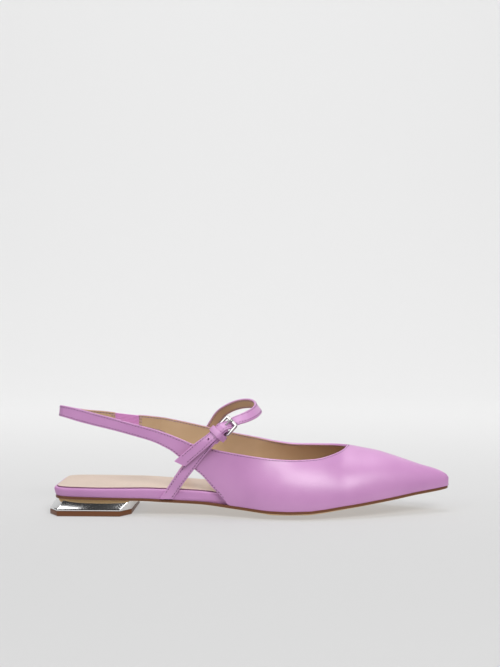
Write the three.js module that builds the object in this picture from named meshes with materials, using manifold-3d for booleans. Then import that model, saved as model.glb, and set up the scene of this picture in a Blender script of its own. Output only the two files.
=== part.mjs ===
// A women's flat sling back shoe, right foot, in millimetres.
// +X runs to the toe, +Y to the inner (medial) side of the foot, +Z up, and Z = 0 is the floor.
// The origin is the centre of the heel's tread. Heights are taken from the floor.
import * as THREE from "three";
import { mergeVertices } from "three/addons/utils/BufferGeometryUtils.js";
import Module from "manifold-3d";

const wasm = await Module();
wasm.setup();

// Clearance between pieces that meet
const seam = 0.3;

// Last and sole
const soleLength = 270.7;
const seatSetback = 24.8; // back edge of the seat behind the centre of the heel's tread
const ballWidth = 74.8;
const seatWidth = 55;
const toeSwing = 3; // how far the toe points to the inner side
const seatHeight = 11.2; // underside of the outsole at the back
const toeSpring = 15.6; // underside of the outsole at the tip
const ballCamber = 4.2; // rise of the outsole's edge across the ball
const outsoleThickness = 1.9;
const footbedThickness = 6.5;
const sockThickness = 1;
const sockMargin = 1.9; // footbed rim left bare round the insole sock

// Heel
const heelLength = 55.9;
const heelWidth = 57;
const heelCornerLength = 6.5;
const heelCornerWidth = 9;
const topLiftThickness = 3.4;
const heelBandHeight = 1.1;
const heelTaper = 4;
const heelBreastRake = 6;

// Upper
const upperWall = 1.7;
const throatSetback = 70.1; // throat behind the tip of the toe
const throatHeight = 45.1;
const crestShift = 7; // how far the crest of the instep stands to the inner side
const noseHeight = 22.6; // top of the upper at the very tip
const collarWidth = 56;
const collarHeight = 38.5; // lowest place of the outer topline
const collarRise = 5.6; // how much higher the inner topline runs
const slingHeight = 72.5; // top edge of the sling at the back of the heel
const slingWidth = 8.6;
const slingTurn = 11.2; // width of the sling's turn behind the heel
const slingOverhang = 0.3; // how far the sling stands behind the seat
const slingRoot = 72.5; // sling's root on the quarter, ahead of the seat's back edge
const sideCutStart = 120.1; // side cut at the sole, ahead of the seat's back edge
const featherInset = 0.5; // wall of the upper inside the edge of the last's plan
const featherGap = 0.42; // wall of the upper above the outsole

// Elastic gore in the sling
const goreThickness = 1.1;
const goreFront = 52.1; // front end of the gore, ahead of the seat's back edge
const goreLength = 16;
const goreWidth = 7.8;

// Straps and buckle
const strapWidth = 7.5;
const strapThickness = 1.4;
const tailSlant = 1.7;
const footSlant = -2.6; // straps end level at the sole
const holeDiameter = 1.5;
const holeSpacing = 7.2;
const buckleLength = 10.8;
const buckleBar = 2;
const prongDiameter = 1.1;
const keeperWidth = 4.2;
const keeperThickness = 1.1;

const toeTip = soleLength - seatSetback;
const throatX = toeTip - throatSetback;
const rootX = slingRoot - seatSetback;
const sideCutX = sideCutStart - seatSetback;
const atShare = (share) => share * soleLength - seatSetback;

// Smooth curve through one column of a table, a cubic between rows that never overshoots them.
function curve(rows, along, column) {
  const xs = rows.map((row) => row[along]);
  const ys = rows.map((row) => row[column]);
  const last = xs.length - 1;
  const steep = xs.slice(1).map((x, i) => (ys[i + 1] - ys[i]) / (x - xs[i]));
  const slopes = xs.map((_, i) => {
    if (i === 0) return steep[0];
    if (i === last) return steep[last - 1];
    const [a, b] = [steep[i - 1], steep[i]];
    return a * b > 0 ? (2 * a * b) / (a + b) : 0;
  });
  return (x) => {
    if (x <= xs[0]) return ys[0];
    if (x >= xs[last]) return ys[last];
    const i = xs.findIndex((edge, k) => x >= edge && x < xs[k + 1]);
    const step = xs[i + 1] - xs[i];
    const t = (x - xs[i]) / step;
    const [t2, t3] = [t * t, t * t * t];
    return (
      (2 * t3 - 3 * t2 + 1) * ys[i] +
      (t3 - 2 * t2 + t) * step * slopes[i] +
      (3 * t2 - 2 * t3) * ys[i + 1] +
      (t3 - t2) * step * slopes[i + 1]
    );
  };
}

const mix = (a, b, t) => a + (b - a) * t;
const vec = (x, y, z) => new THREE.Vector3(x, y, z);

// Closed mesh out of points and triangles, with shared corners merged and faces turned outward.
function closedMesh(points, triangles) {
  const flat = new Float32Array(points.flatMap((p) => [p.x, p.y, p.z]));
  const raw = new THREE.BufferGeometry();
  raw.setAttribute("position", new THREE.BufferAttribute(flat, 3));
  raw.setIndex(triangles.flat());
  return outward(mergeVertices(raw, 1e-3));
}

function outward(geometry) {
  const at = geometry.getAttribute("position");
  const index = geometry.index.array;
  const kept = [];
  const [a, b, c] = [vec(), vec(), vec()];
  let volume = 0;
  for (let i = 0; i < index.length; i += 3) {
    const [p, q, r] = index.slice(i, i + 3);
    if (p === q || q === r || r === p) continue;
    a.fromBufferAttribute(at, p);
    b.fromBufferAttribute(at, q);
    c.fromBufferAttribute(at, r);
    volume += a.dot(b.cross(c));
    kept.push([p, q, r]);
  }
  const faces = volume < 0 ? kept.map(([p, q, r]) => [p, r, q]) : kept;
  geometry.setIndex(faces.flat());
  return geometry;
}

function toSolid(geometry) {
  const bare = new THREE.BufferGeometry();
  bare.setAttribute("position", geometry.getAttribute("position").clone());
  if (geometry.index) bare.setIndex(geometry.index.clone());
  const merged = outward(mergeVertices(bare, 1e-3));
  return new wasm.Manifold(
    new wasm.Mesh({
      numProp: 3,
      vertProperties: new Float32Array(merged.getAttribute("position").array),
      triVerts: new Uint32Array(merged.index.array),
    }),
  );
}

function toGeometry(solid) {
  const mesh = solid.getMesh();
  const geometry = new THREE.BufferGeometry();
  geometry.setAttribute("position", new THREE.BufferAttribute(mesh.vertProperties.slice(), 3));
  geometry.setIndex(new THREE.BufferAttribute(mesh.triVerts.slice(), 1));
  return geometry;
}

// Skin over successive rings of equal count, capped at both ends or closed on itself.
function loft(rings, closed = false) {
  const count = rings[0].length;
  const triangles = [];
  const spans = closed ? rings.length : rings.length - 1;
  for (let i = 0; i < spans; i++) {
    const [here, next] = [i * count, ((i + 1) % rings.length) * count];
    for (let k = 0; k < count; k++) {
      const other = (k + 1) % count;
      triangles.push([here + k, here + other, next + other]);
      triangles.push([here + k, next + other, next + k]);
    }
  }
  if (!closed) {
    const end = (rings.length - 1) * count;
    for (let k = 1; k < count - 1; k++) {
      triangles.push([0, k + 1, k]);
      triangles.push([end, end + k, end + k + 1]);
    }
  }
  return closedMesh(rings.flat(), triangles);
}

// Plan of the last: half width and swing of its middle line, from the seat's back edge to the tip.
const seatHalf = seatWidth / 2;
const ballHalf = ballWidth / 2;
const plan = [
  { at: 0, of: seatHalf, half: 0.62, swing: 0 },
  { at: 0.0018, of: seatHalf, half: 0.72, swing: 0 },
  { at: 0.006, of: seatHalf, half: 0.795, swing: 0 },
  { at: 0.0145, of: seatHalf, half: 0.872, swing: 0 },
  { at: 0.029, of: seatHalf, half: 0.934, swing: 0 },
  { at: 0.052, of: seatHalf, half: 0.975, swing: 0 },
  { at: 0.085, of: seatHalf, half: 0.995, swing: 0 },
  { at: 0.12, of: seatHalf, half: 1, swing: 0 },
  { at: 0.183, of: seatHalf, half: 0.974, swing: 0 },
  { at: 0.276, of: ballHalf, half: 0.655, swing: -0.17 },
  { at: 0.368, of: ballHalf, half: 0.642, swing: -0.5 },
  { at: 0.461, of: ballHalf, half: 0.769, swing: -0.75 },
  { at: 0.516, of: ballHalf, half: 0.89, swing: -0.67 },
  { at: 0.571, of: ballHalf, half: 0.974, swing: -0.4 },
  { at: 0.631, of: ballHalf, half: 1, swing: -0.03 },
  { at: 0.682, of: ballHalf, half: 0.952, swing: 0.17 },
  { at: 0.756, of: ballHalf, half: 0.813, swing: 0.37 },
  { at: 0.83, of: ballHalf, half: 0.618, swing: 0.5 },
  { at: 0.904, of: ballHalf, half: 0.392, swing: 0.63 },
  { at: 0.96, of: ballHalf, half: 0.215, swing: 0.85 },
  { at: 0.978, of: ballHalf, half: 0.158, swing: 0.93 },
  { at: 0.989, of: ballHalf, half: 0.113, swing: 0.97 },
  { at: 0.9952, of: ballHalf, half: 0.077, swing: 1 },
  { at: 0.9987, of: ballHalf, half: 0.042, swing: 1 },
  { at: 1, of: ballHalf, half: 0, swing: 1 },
].map((row) => ({
  at: row.at,
  x: atShare(row.at),
  half: row.half * row.of,
  swing: row.swing * toeSwing,
}));
const halfAt = curve(plan, "x", "half");
const swingAt = curve(plan, "x", "swing");

// Underside of the outsole down its middle, and how far its edge rises above that.
const underside = [
  { at: 0, of: seatHeight, middle: 1, camber: 0 },
  { at: 0.09, of: seatHeight, middle: 0.96, camber: 0 },
  { at: 0.15, of: seatHeight, middle: 0.933, camber: 0 },
  { at: 0.22, of: seatHeight, middle: 0.9, camber: 0 },
  { at: 0.27, of: seatHeight, middle: 0.83, camber: 0 },
  { at: 0.313, of: seatHeight, middle: 0.775, camber: 0.03 },
  { at: 0.368, of: seatHeight, middle: 0.68, camber: 0.12 },
  { at: 0.446, of: seatHeight, middle: 0.44, camber: 0.32 },
  { at: 0.49, of: seatHeight, middle: 0.26, camber: 0.56 },
  { at: 0.527, of: seatHeight, middle: 0.1, camber: 0.78 },
  { at: 0.549, of: seatHeight, middle: 0, camber: 0.93 },
  { at: 0.59, of: seatHeight, middle: 0, camber: 0.97 },
  { at: 0.631, of: toeSpring, middle: 0, camber: 1 },
  { at: 0.675, of: toeSpring, middle: 0.09, camber: 0.91 },
  { at: 0.712, of: toeSpring, middle: 0.19, camber: 0.81 },
  { at: 0.76, of: toeSpring, middle: 0.32, camber: 0.67 },
  { at: 0.808, of: toeSpring, middle: 0.46, camber: 0.52 },
  { at: 0.858, of: toeSpring, middle: 0.605, camber: 0.38 },
  { at: 0.908, of: toeSpring, middle: 0.765, camber: 0.24 },
  { at: 0.97, of: toeSpring, middle: 0.92, camber: 0.07 },
  { at: 1, of: toeSpring, middle: 1, camber: 0 },
].map((row) => ({
  at: row.at,
  x: atShare(row.at),
  middle: row.middle * row.of,
  camber: row.camber * ballCamber,
}));
const middleAt = curve(underside, "x", "middle");
const camberAt = curve(underside, "x", "camber");
const treadShare = 0.4; // middle share of the width that stays flat

function undersideZ(x, y) {
  const out = Math.abs(y - swingAt(x)) / Math.max(halfAt(x), 1);
  const past = Math.max(0, Math.min(out, 1.05) - treadShare) / (1 - treadShare);
  return middleAt(x) + camberAt(x) * Math.pow(past, 1.6);
}
const outsoleTopZ = (x, y) => undersideZ(x, y) + outsoleThickness;

// Stations along the sole: the rows of the plan at both ends and of the underside between them.
const widestStep = 13;
const nearEnd = (row) => row.at < 0.13 || row.at > 0.975;
function stationsBetween(xs) {
  const sorted = [...new Set(xs.map((x) => Number(x.toFixed(3))))].sort((a, b) => a - b);
  return sorted.flatMap((x, i) => {
    if (i === 0) return [x];
    const parts = Math.ceil((x - sorted[i - 1]) / widestStep);
    return Array.from({ length: parts }, (_, k) => mix(sorted[i - 1], x, (k + 1) / parts));
  });
}
const endXs = plan.filter(nearEnd).map((row) => row.x);
const middleXs = underside.filter((row) => !nearEnd(row)).map((row) => row.x);
const soleStations = stationsBetween([...endXs, ...middleXs]);

// Both edges of the plan at the stations, moved in by an inset that may change along the sole.
function edges(stations, insetAt) {
  const outer = stations.map((x) => vec(x, swingAt(x) - halfAt(x), 0));
  const inner = stations.map((x) => vec(x, swingAt(x) + halfAt(x), 0));
  const closedTip = inner[inner.length - 1].distanceTo(outer[outer.length - 1]) < 0.01;
  const loop = [...outer, ...(closedTip ? inner.slice(0, -1) : inner).reverse()];
  const moved = loop.map((p, i) => {
    const before = loop[(i + loop.length - 1) % loop.length];
    const after = loop[(i + 1) % loop.length];
    const a = vec().subVectors(p, before).normalize();
    const b = vec().subVectors(after, p).normalize();
    const inward = vec(-(a.y + b.y), a.x + b.x, 0).normalize();
    const reach = insetAt(p.x) / Math.max(0.5, inward.dot(vec(-a.y, a.x, 0)));
    return p.clone().addScaledVector(inward, reach);
  });
  const lateral = moved.slice(0, stations.length);
  const back = moved.slice(stations.length).reverse();
  const medial = closedTip ? [...back, lateral[lateral.length - 1]] : back;
  return { lateral, medial };
}

// Slab between two heights over the plan, with its side drawn by steps of inset and height.
const acrossSteps = [-1, -0.76, -treadShare, 0, treadShare, 0.76, 1];
function slab(stations, side, bottomZ, topZ) {
  const layers = side.map((step) => edges(stations, step.inset));
  const rings = stations.map((_, i) => {
    const across = (layer, t) => layer.lateral[i].clone().lerp(layer.medial[i], (t + 1) / 2);
    const low = acrossSteps.map((t) => {
      const p = across(layers[0], t);
      return p.setZ(bottomZ(p.x, p.y));
    });
    const high = acrossSteps.map((t) => {
      const p = across(layers[layers.length - 1], t);
      return p.setZ(topZ(p.x, p.y));
    });
    const middle = side.slice(1, -1).map((step, k) => {
      const [l, m] = [layers[k + 1].lateral[i].clone(), layers[k + 1].medial[i].clone()];
      l.setZ(mix(bottomZ(l.x, l.y), topZ(l.x, l.y), step.rise));
      m.setZ(mix(bottomZ(m.x, m.y), topZ(m.x, m.y), step.rise));
      return [l, m];
    });
    const up = middle.map(([, m]) => m);
    const down = middle.map(([l]) => l).reverse();
    return [...low, ...up, ...high.reverse(), ...down];
  });
  return slabSkin(rings);
}

// Skin over the rings of a slab. A ring with no width, as at the tip, needs no end face.
function slabSkin(rings) {
  const count = rings[0].length;
  const points = rings.flat();
  const triangles = [];
  for (let i = 0; i < rings.length - 1; i++) {
    const [here, next] = [i * count, (i + 1) * count];
    for (let k = 0; k < count; k++) {
      const other = (k + 1) % count;
      triangles.push([here + k, here + other, next + other]);
      triangles.push([here + k, next + other, next + k]);
    }
  }
  for (const [i, turned] of [[0, false], [rings.length - 1, true]]) {
    const ys = rings[i].map((p) => p.y);
    if (Math.max(...ys) - Math.min(...ys) < 1e-3) continue;
    const middle = points.push(rings[i].reduce((sum, p) => sum.add(p), vec(0, 0, 0)).divideScalar(count)) - 1;
    for (let k = 0; k < count; k++) {
      const [a, b] = [i * count + k, i * count + ((k + 1) % count)];
      triangles.push(turned ? [a, b, middle] : [b, a, middle]);
    }
  }
  return closedMesh(points, triangles);
}

// Outsole: set in a little under the seat and at the very tip.
const outsoleInsets = [
  { at: 0, inset: 0.3 },
  { at: 0.2, inset: 0.5 },
  { at: 0.3, inset: 0 },
  { at: 0.9, inset: 0 },
  { at: 1, inset: 0.6 },
].map((row) => ({ x: atShare(row.at), inset: row.inset }));
const outsoleInset = curve(outsoleInsets, "x", "inset");
const outsoleEdgeRound = 0.45;
function outsoleGeometry() {
  const side = [
    { inset: (x) => outsoleInset(x) + outsoleEdgeRound },
    { inset: outsoleInset, rise: 0.3 },
    { inset: outsoleInset, rise: 0.8 },
    { inset: (x) => outsoleInset(x) + outsoleEdgeRound * 0.5 },
  ];
  return slab(soleStations, side, undersideZ, outsoleTopZ);
}

// Footbed: full width where it shows, and inside the upper from the side cut forward.
const rimInset = featherInset + upperWall + seam;
const footbedRows = [
  { at: 0, thick: 0.84, inset: -0.25 },
  { at: 0.1, thick: 0.87, inset: -0.25 },
  { at: 0.2, thick: 0.93, inset: -0.1 },
  { at: 0.28, thick: 1, inset: 0.1 },
  { at: 0.36, thick: 1.02, inset: 0.25 },
  { at: 0.42, thick: 1, inset: 1.02 },
  { at: 0.48, thick: 0.8, inset: 1.08 },
  { at: 0.56, thick: 0.52, inset: 1.1 },
  { at: 1, thick: 0.45, inset: 1.25 },
].map((row) => ({
  x: atShare(row.at),
  thick: row.thick * footbedThickness,
  inset: row.inset * rimInset,
}));
const footbedInset = curve(footbedRows, "x", "inset");
const footbedThick = curve(footbedRows, "x", "thick");
const footbedBottomZ = (x, y) => outsoleTopZ(x, y) + seam;
const footbedTopZ = (x, y) => outsoleTopZ(x, y) + seam + footbedThick(x);
const footbedEdgeRound = 0.8;
const seatBevel = 1; // how far the rim leans out from the outsole under the heel
const footbedBevel = (x) => seatBevel * (1 - THREE.MathUtils.smoothstep(x, 0, atShare(0.3)));
function footbedGeometry() {
  const side = [
    { inset: (x) => footbedInset(x) + footbedEdgeRound + footbedBevel(x) },
    { inset: (x) => footbedInset(x) + footbedBevel(x) * 0.6, rise: 0.3 },
    { inset: footbedInset, rise: 0.72 },
    { inset: (x) => footbedInset(x) + footbedEdgeRound * 0.25, rise: 0.91 },
    { inset: (x) => footbedInset(x) + footbedEdgeRound },
  ];
  return slab(soleStations, side, footbedBottomZ, footbedTopZ);
}

// Insole sock, laid on the footbed.
const sockInset = (x) => footbedInset(x) + sockMargin;
const sockBottomZ = (x, y) => footbedTopZ(x, y) + seam;
const sockTopZ = (x, y) => sockBottomZ(x, y) + sockThickness;
function sockGeometry() {
  const side = [{ inset: sockInset }, { inset: sockInset, rise: 0.6 }, { inset: (x) => sockInset(x) + 0.4 }];
  return slab(soleStations, side, sockBottomZ, sockTopZ);
}

// Heel: an eight sided plan with cut corners.
function octagon(inset, frontInset, zAt) {
  const [x, y] = [heelLength / 2 - inset, heelWidth / 2 - inset];
  const front = heelLength / 2 - frontInset;
  const [cx, cy] = [heelCornerLength, heelCornerWidth];
  return [
    [front, -y + cy], [front, y - cy], [front - cx, y], [-x + cx, y],
    [-x, y - cy], [-x, -y + cy], [-x + cx, -y], [front - cx, -y],
  ].map(([px, py]) => vec(px, py, zAt(px)));
}
const heelTopZ = (x) => middleAt(x) - seam;
function topLiftGeometry() {
  const edge = 0.4;
  return loft([
    octagon(edge, edge, () => 0),
    octagon(0, 0, () => edge),
    octagon(0, 0, () => topLiftThickness),
  ]);
}
function heelBlockGeometry() {
  const bandBottom = topLiftThickness + seam;
  return loft([
    octagon(0, 0, () => bandBottom),
    octagon(0, 0, () => bandBottom + heelBandHeight),
    octagon(heelTaper, -heelBreastRake, heelTopZ),
  ]);
}

// Top of the upper over the vamp, from the throat to the tip.
const ridge = [
  { at: 1, of: throatHeight, height: 1 },
  { at: 0.96, of: throatHeight, height: 0.993 },
  { at: 0.846, of: throatHeight, height: 0.961 },
  { at: 0.705, of: throatHeight, height: 0.92 },
  { at: 0.562, of: throatHeight, height: 0.854 },
  { at: 0.42, of: throatHeight, height: 0.781 },
  { at: 0.278, of: throatHeight, height: 0.707 },
  { at: 0.137, of: throatHeight, height: 0.644 },
  { at: 0.06, of: throatHeight, height: 0.594 },
  { at: 0.026, of: throatHeight, height: 0.559 },
  { at: 0.009, of: noseHeight, height: 1.055 },
  { at: 0, of: noseHeight, height: 1 },
].map((row) => ({ x: toeTip - row.at * throatSetback, z: row.height * row.of }));
const ridgeZ = curve(ridge, "x", "z");

// Crest of the instep, from behind the throat to the tip, and its shift from the middle line.
const crest = [
  { at: 0.606, shift: 0.95 },
  { at: 0.653, shift: 0.7 },
  { at: 0.678, shift: 0.57 },
  { at: 0.703, shift: 0.55 },
  { at: 0.72, shift: 0.54 },
  { at: 0.741, shift: 0.47 },
  { at: 0.77, shift: 0.38 },
  { at: 0.83, shift: 0.28 },
  { at: 0.923, shift: 0.14 },
  { at: 1, shift: 0 },
].map((row) => ({ x: atShare(row.at), shift: row.shift * crestShift }));
const crestShiftAt = curve(crest, "x", "shift");
const crestY = (x) => swingAt(x) + crestShiftAt(x);

// Topline each side, from the sling's root to the throat. Reach is a share of half the collar width,
// turn the angle in degrees at which the wall ends, from level at the throat to nearly upright.
const toplineSpan = throatX - rootX;
const crestDraw = 8; // how late the topline's middle draws over to the crest
const lateralTop = [
  { at: 0, reach: 0.868, height: 1.49, turn: 88 },
  { at: 0.054, reach: 0.918, height: 1.436, turn: 87 },
  { at: 0.113, reach: 0.95, height: 1.361, turn: 87 },
  { at: 0.177, reach: 0.975, height: 1.278, turn: 87 },
  { at: 0.314, reach: 0.993, height: 1.171, turn: 84 },
  { at: 0.415, reach: 1, height: 1.112, turn: 79 },
  { at: 0.515, reach: 1, height: 1.06, turn: 73 },
  { at: 0.616, reach: 0.975, height: 1.021, turn: 65 },
  { at: 0.715, reach: 0.914, height: 1, turn: 52 },
  { at: 0.816, reach: 0.811, height: 1.008, turn: 38 },
  { at: 0.867, reach: 0.729, height: 1.031, turn: 29 },
  { at: 0.919, reach: 0.568, height: 1.07, turn: 19 },
  { at: 0.955, reach: 0.41, height: 1.102, turn: 12 },
  { at: 0.974, reach: 0.293, height: 1.129, turn: 8 },
  { at: 0.988, reach: 0.18, height: 1.153, turn: 5 },
  { at: 0.996, reach: 0.075, height: 1.169, turn: 2 },
];
const medialTop = [
  { at: 0, reach: 0.868, height: 1.386, turn: 88 },
  { at: 0.094, reach: 0.939, height: 1.326, turn: 87 },
  { at: 0.224, reach: 0.982, height: 1.24, turn: 86 },
  { at: 0.368, reach: 1, height: 1.147, turn: 82 },
  { at: 0.504, reach: 1, height: 1.075, turn: 74 },
  { at: 0.611, reach: 0.979, height: 1.016, turn: 64 },
  { at: 0.719, reach: 0.875, height: 0.986, turn: 50 },
  { at: 0.826, reach: 0.72, height: 0.995, turn: 34 },
  { at: 0.88, reach: 0.605, height: 1.002, turn: 25 },
  { at: 0.93, reach: 0.45, height: 1.011, turn: 16 },
  { at: 0.96, reach: 0.313, height: 1.016, turn: 10 },
  { at: 0.981, reach: 0.19, height: 1.019, turn: 6 },
  { at: 0.996, reach: 0.06, height: 1.022, turn: 2 },
];
function toplineRows(rows, lowest, reachTo) {
  return [
    ...rows.map((row) => ({
      x: throatX - (1 - row.at) * toplineSpan,
      y: crestY(throatX) * Math.pow(row.at, crestDraw) + reachTo * row.reach * (collarWidth / 2),
      z: row.height * lowest,
      turn: row.turn,
    })),
    { x: throatX, y: crestY(throatX), z: throatHeight, turn: 0 },
  ];
}
const lateralRows = toplineRows(lateralTop, collarHeight, -1);
const medialRows = toplineRows(medialTop, collarHeight + collarRise, 1);
const sideRows = { lateral: lateralRows, medial: medialRows };
const topline = {};
for (const [side, rows] of Object.entries(sideRows)) {
  topline[side] = {
    y: curve(rows, "x", "y"),
    z: curve(rows, "x", "z"),
    turn: curve(rows, "x", "turn"),
  };
}

// Side cut: from the sole up to the sling's lower edge, the same on both sides.
const sideCut = [
  { at: 0, height: 0.665 },
  { at: 0.164, height: 0.612 },
  { at: 0.277, height: 0.556 },
  { at: 0.508, height: 0.437 },
  { at: 0.607, height: 0.383 },
  { at: 0.733, height: 0.287 },
  { at: 0.861, height: 0.2 },
  { at: 1, height: 0.098 },
].map((row) => ({ x: mix(rootX, sideCutX, row.at), z: row.height * slingHeight }));
const sideCutZ = curve(sideCut, "x", "z");

// How full the wall stands at the side and how broad the crown is, from the back to the tip.
const fullness = [
  { at: 0.24, side: 0.3, crown: 0.3, flare: 0.02 },
  { at: 0.42, side: 0.35, crown: 0.35, flare: 0.05 },
  { at: 0.53, side: 0.42, crown: 0.4, flare: 0.06 },
  { at: 0.64, side: 0.47, crown: 0.38, flare: 0.04 },
  { at: 0.74, side: 0.5, crown: 0.4, flare: 0.03 },
  { at: 0.85, side: 0.55, crown: 0.5, flare: 0.03 },
  { at: 1, side: 0.6, crown: 0.62, flare: 0.02 },
].map((row) => ({ ...row, x: atShare(row.at) }));
const sideFull = curve(fullness, "x", "side");
const crownFull = curve(fullness, "x", "crown");
const flareAt = curve(fullness, "x", "flare");

// One section of the wall from its feather edge up to a top point, as a cubic with set tangents.
function wallSection(foot, top, turn, x) {
  const rise = top.z - foot.z;
  const span = Math.abs(top.y - foot.y);
  const outwardY = Math.sign(foot.y - swingAt(x)) || 1;
  const angle = THREE.MathUtils.degToRad(turn);
  const grip = mix(span, rise, Math.sin(angle)) * crownFull(x);
  const low = foot.clone().add(vec(0, outwardY * rise * flareAt(x), rise * sideFull(x)));
  const high = top.clone().add(vec(0, outwardY * Math.cos(angle) * grip, -Math.sin(angle) * grip));
  return new THREE.CubicBezierCurve3(foot, low, high, top);
}
const wallSteps = 6;
// Place on a section where it first reaches a height.
function shareAtHeight(section, z) {
  let [a, b] = [0, 1];
  for (let k = 0; k < 30; k++) {
    const half = (a + b) / 2;
    if (section.getPoint(half).z < z) a = half;
    else b = half;
  }
  return b;
}
function samples(section, from, to) {
  return Array.from({ length: wallSteps + 1 }, (_, k) => section.getPoint(mix(from, to, k / wallSteps)));
}

// Near the throat a quarter's section is the lower part of a whole one over a crown that isn't there.
function crownedSection(foot, top, x) {
  let [low, high] = [top.z, top.z + slingHeight];
  let section;
  let share;
  for (let k = 0; k < 30; k++) {
    const crown = (low + high) / 2;
    section = wallSection(foot, vec(top.x, crestY(x), crown), 0, x);
    share = shareAtHeight(section, top.z);
    if (Math.abs(section.getPoint(share).y - crestY(x)) < Math.abs(top.y - crestY(x))) low = crown;
    else high = crown;
  }
  return samples(section, 0, share);
}

// Vamp and quarter rows, from the sling's root to the tip.
const closeTo = 0.01;
const vampXs = stationsBetween([
  ...plan.filter((row) => row.at > 0.75).map((row) => row.x),
  ...ridge.filter((row) => row.at > 0.1).map((row) => row.x),
]).filter((x, i, all) => x > throatX + 2 && (i === all.length - 1 || all[i + 1] - x > 0.2));
vampXs.unshift(throatX);
const quarterXs = stationsBetween([
  ...lateralRows.slice(0, -1).map((row) => row.x),
  ...sideCut.map((row) => row.x),
]).filter((x, i, all) => i === all.length - 1 || all[i + 1] - x > 0.9);
const toeBlend = 40;
const upperInset = (x) => mix(featherInset, 0.1, THREE.MathUtils.smoothstep(x, toeTip - toeBlend, toeTip));
const upperXs = [...quarterXs, ...vampXs];
const wholeXs = [...soleStations.filter((x) => x < upperXs[0] - 1), ...upperXs];
const feather = edges(wholeXs, upperInset);
const featherStart = wholeXs.length - upperXs.length;

function upperRow(side, i) {
  const foot = feather[side][featherStart + i].clone();
  foot.setZ(outsoleTopZ(foot.x, foot.y) + featherGap);
  const x = upperXs[i];
  if (x >= throatX - closeTo) {
    const top = vec(Math.min(x, foot.x + featherInset), crestY(x), ridgeZ(x));
    return samples(wallSection(foot, top, 0, x), 0, 1);
  }
  const top = vec(x, topline[side].y(x), topline[side].z(x));
  const section = wallSection(foot, top, topline[side].turn(x), x);
  const cut = x < sideCutX - closeTo ? shareAtHeight(section, sideCutZ(x)) : 0;
  const plain = samples(section, cut, 1);
  const blend = THREE.MathUtils.smoothstep(x, mix(sideCutX, throatX, 0.3), mix(sideCutX, throatX, 0.8));
  if (blend === 0) return plain;
  const crowned = crownedSection(foot, top, x);
  return plain.map((p, k) => p.lerp(crowned[k], blend));
}

// Sling: its plan round the heel, from the outer quarter to the inner one.
const slingBackX = -seatSetback - slingOverhang;
const collarHalf = collarWidth / 2;
const turnHalf = slingTurn / 2;
const sling = [
  { at: 0.164, of: collarHalf, reach: -0.771, top: 0.832, width: 0.94 },
  { at: 0.328, of: collarHalf, reach: -0.653, top: 0.869, width: 0.93 },
  { at: 0.492, of: collarHalf, reach: -0.535, top: 0.908, width: 0.96 },
  { at: 0.657, of: collarHalf, reach: -0.411, top: 0.943, width: 0.99 },
  { at: 0.793, of: collarHalf, reach: -0.293, top: 0.974, width: 1.02 },
  { at: 0.903, of: turnHalf, reach: -1, top: 0.993, width: 0.95 },
  { at: 0.963, of: turnHalf, reach: -0.66, top: 1, width: 0.9 },
  { at: 0.99, of: turnHalf, reach: -0.34, top: 1.001, width: 0.88 },
  { at: 1, of: turnHalf, reach: 0, top: 1, width: 0.88 },
  { at: 0.99, of: turnHalf, reach: 0.34, top: 0.996, width: 0.88 },
  { at: 0.963, of: turnHalf, reach: 0.66, top: 0.988, width: 0.9 },
  { at: 0.903, of: turnHalf, reach: 1, top: 0.972, width: 0.95 },
  { at: 0.769, of: collarHalf, reach: 0.314, top: 0.948, width: 1 },
  { at: 0.602, of: collarHalf, reach: 0.45, top: 0.928, width: 1 },
  { at: 0.434, of: collarHalf, reach: 0.579, top: 0.902, width: 1 },
  { at: 0.315, of: collarHalf, reach: 0.668, top: 0.885, width: 1 },
  { at: 0.198, of: collarHalf, reach: 0.754, top: 0.873, width: 1.12 },
  { at: 0.078, of: collarHalf, reach: 0.83, top: 0.857, width: 1.24 },
].map((row) => ({
  x: mix(rootX, slingBackX, row.at),
  y: row.reach * row.of,
  z: row.top * slingHeight,
  width: row.width * slingWidth,
}));
const slingLean = 0.1;
const slingCurve = new THREE.CatmullRomCurve3(sling.map((row) => vec(row.x, row.y, row.z)), false, "centripetal");
function slingRow(t, share = 1, inset = 0) {
  const at = slingCurve.getPoint(t);
  const along = slingCurve.getTangent(t).setZ(0).normalize();
  const out = vec(-along.y, along.x, 0);
  const place = t * (sling.length - 1);
  const i = Math.min(Math.floor(place), sling.length - 2);
  const width = mix(sling[i].width, sling[i + 1].width, place - i);
  const from = (1 - share) / 2;
  return Array.from({ length: wallSteps + 1 }, (_, k) => {
    const down = mix(1 - from, from, k / wallSteps) * width;
    return at.clone().add(vec(out.x * slingLean * down, out.y * slingLean * down, -down)).addScaledVector(out, -inset);
  });
}
const slingParts = 2;
const slingSteps = (sling.length - 1) * slingParts;
function slingAtX(x) {
  let [a, b] = [0.5, 1];
  for (let k = 0; k < 30; k++) {
    const half = (a + b) / 2;
    if (slingCurve.getPoint(half).x < x) a = half;
    else b = half;
  }
  return a;
}
const goreFrontX = goreFront - seatSetback;
const goreBackX = goreFrontX - goreLength;
const slingEnd = slingAtX(goreBackX);
const quarterStart = slingAtX(goreFrontX);

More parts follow.
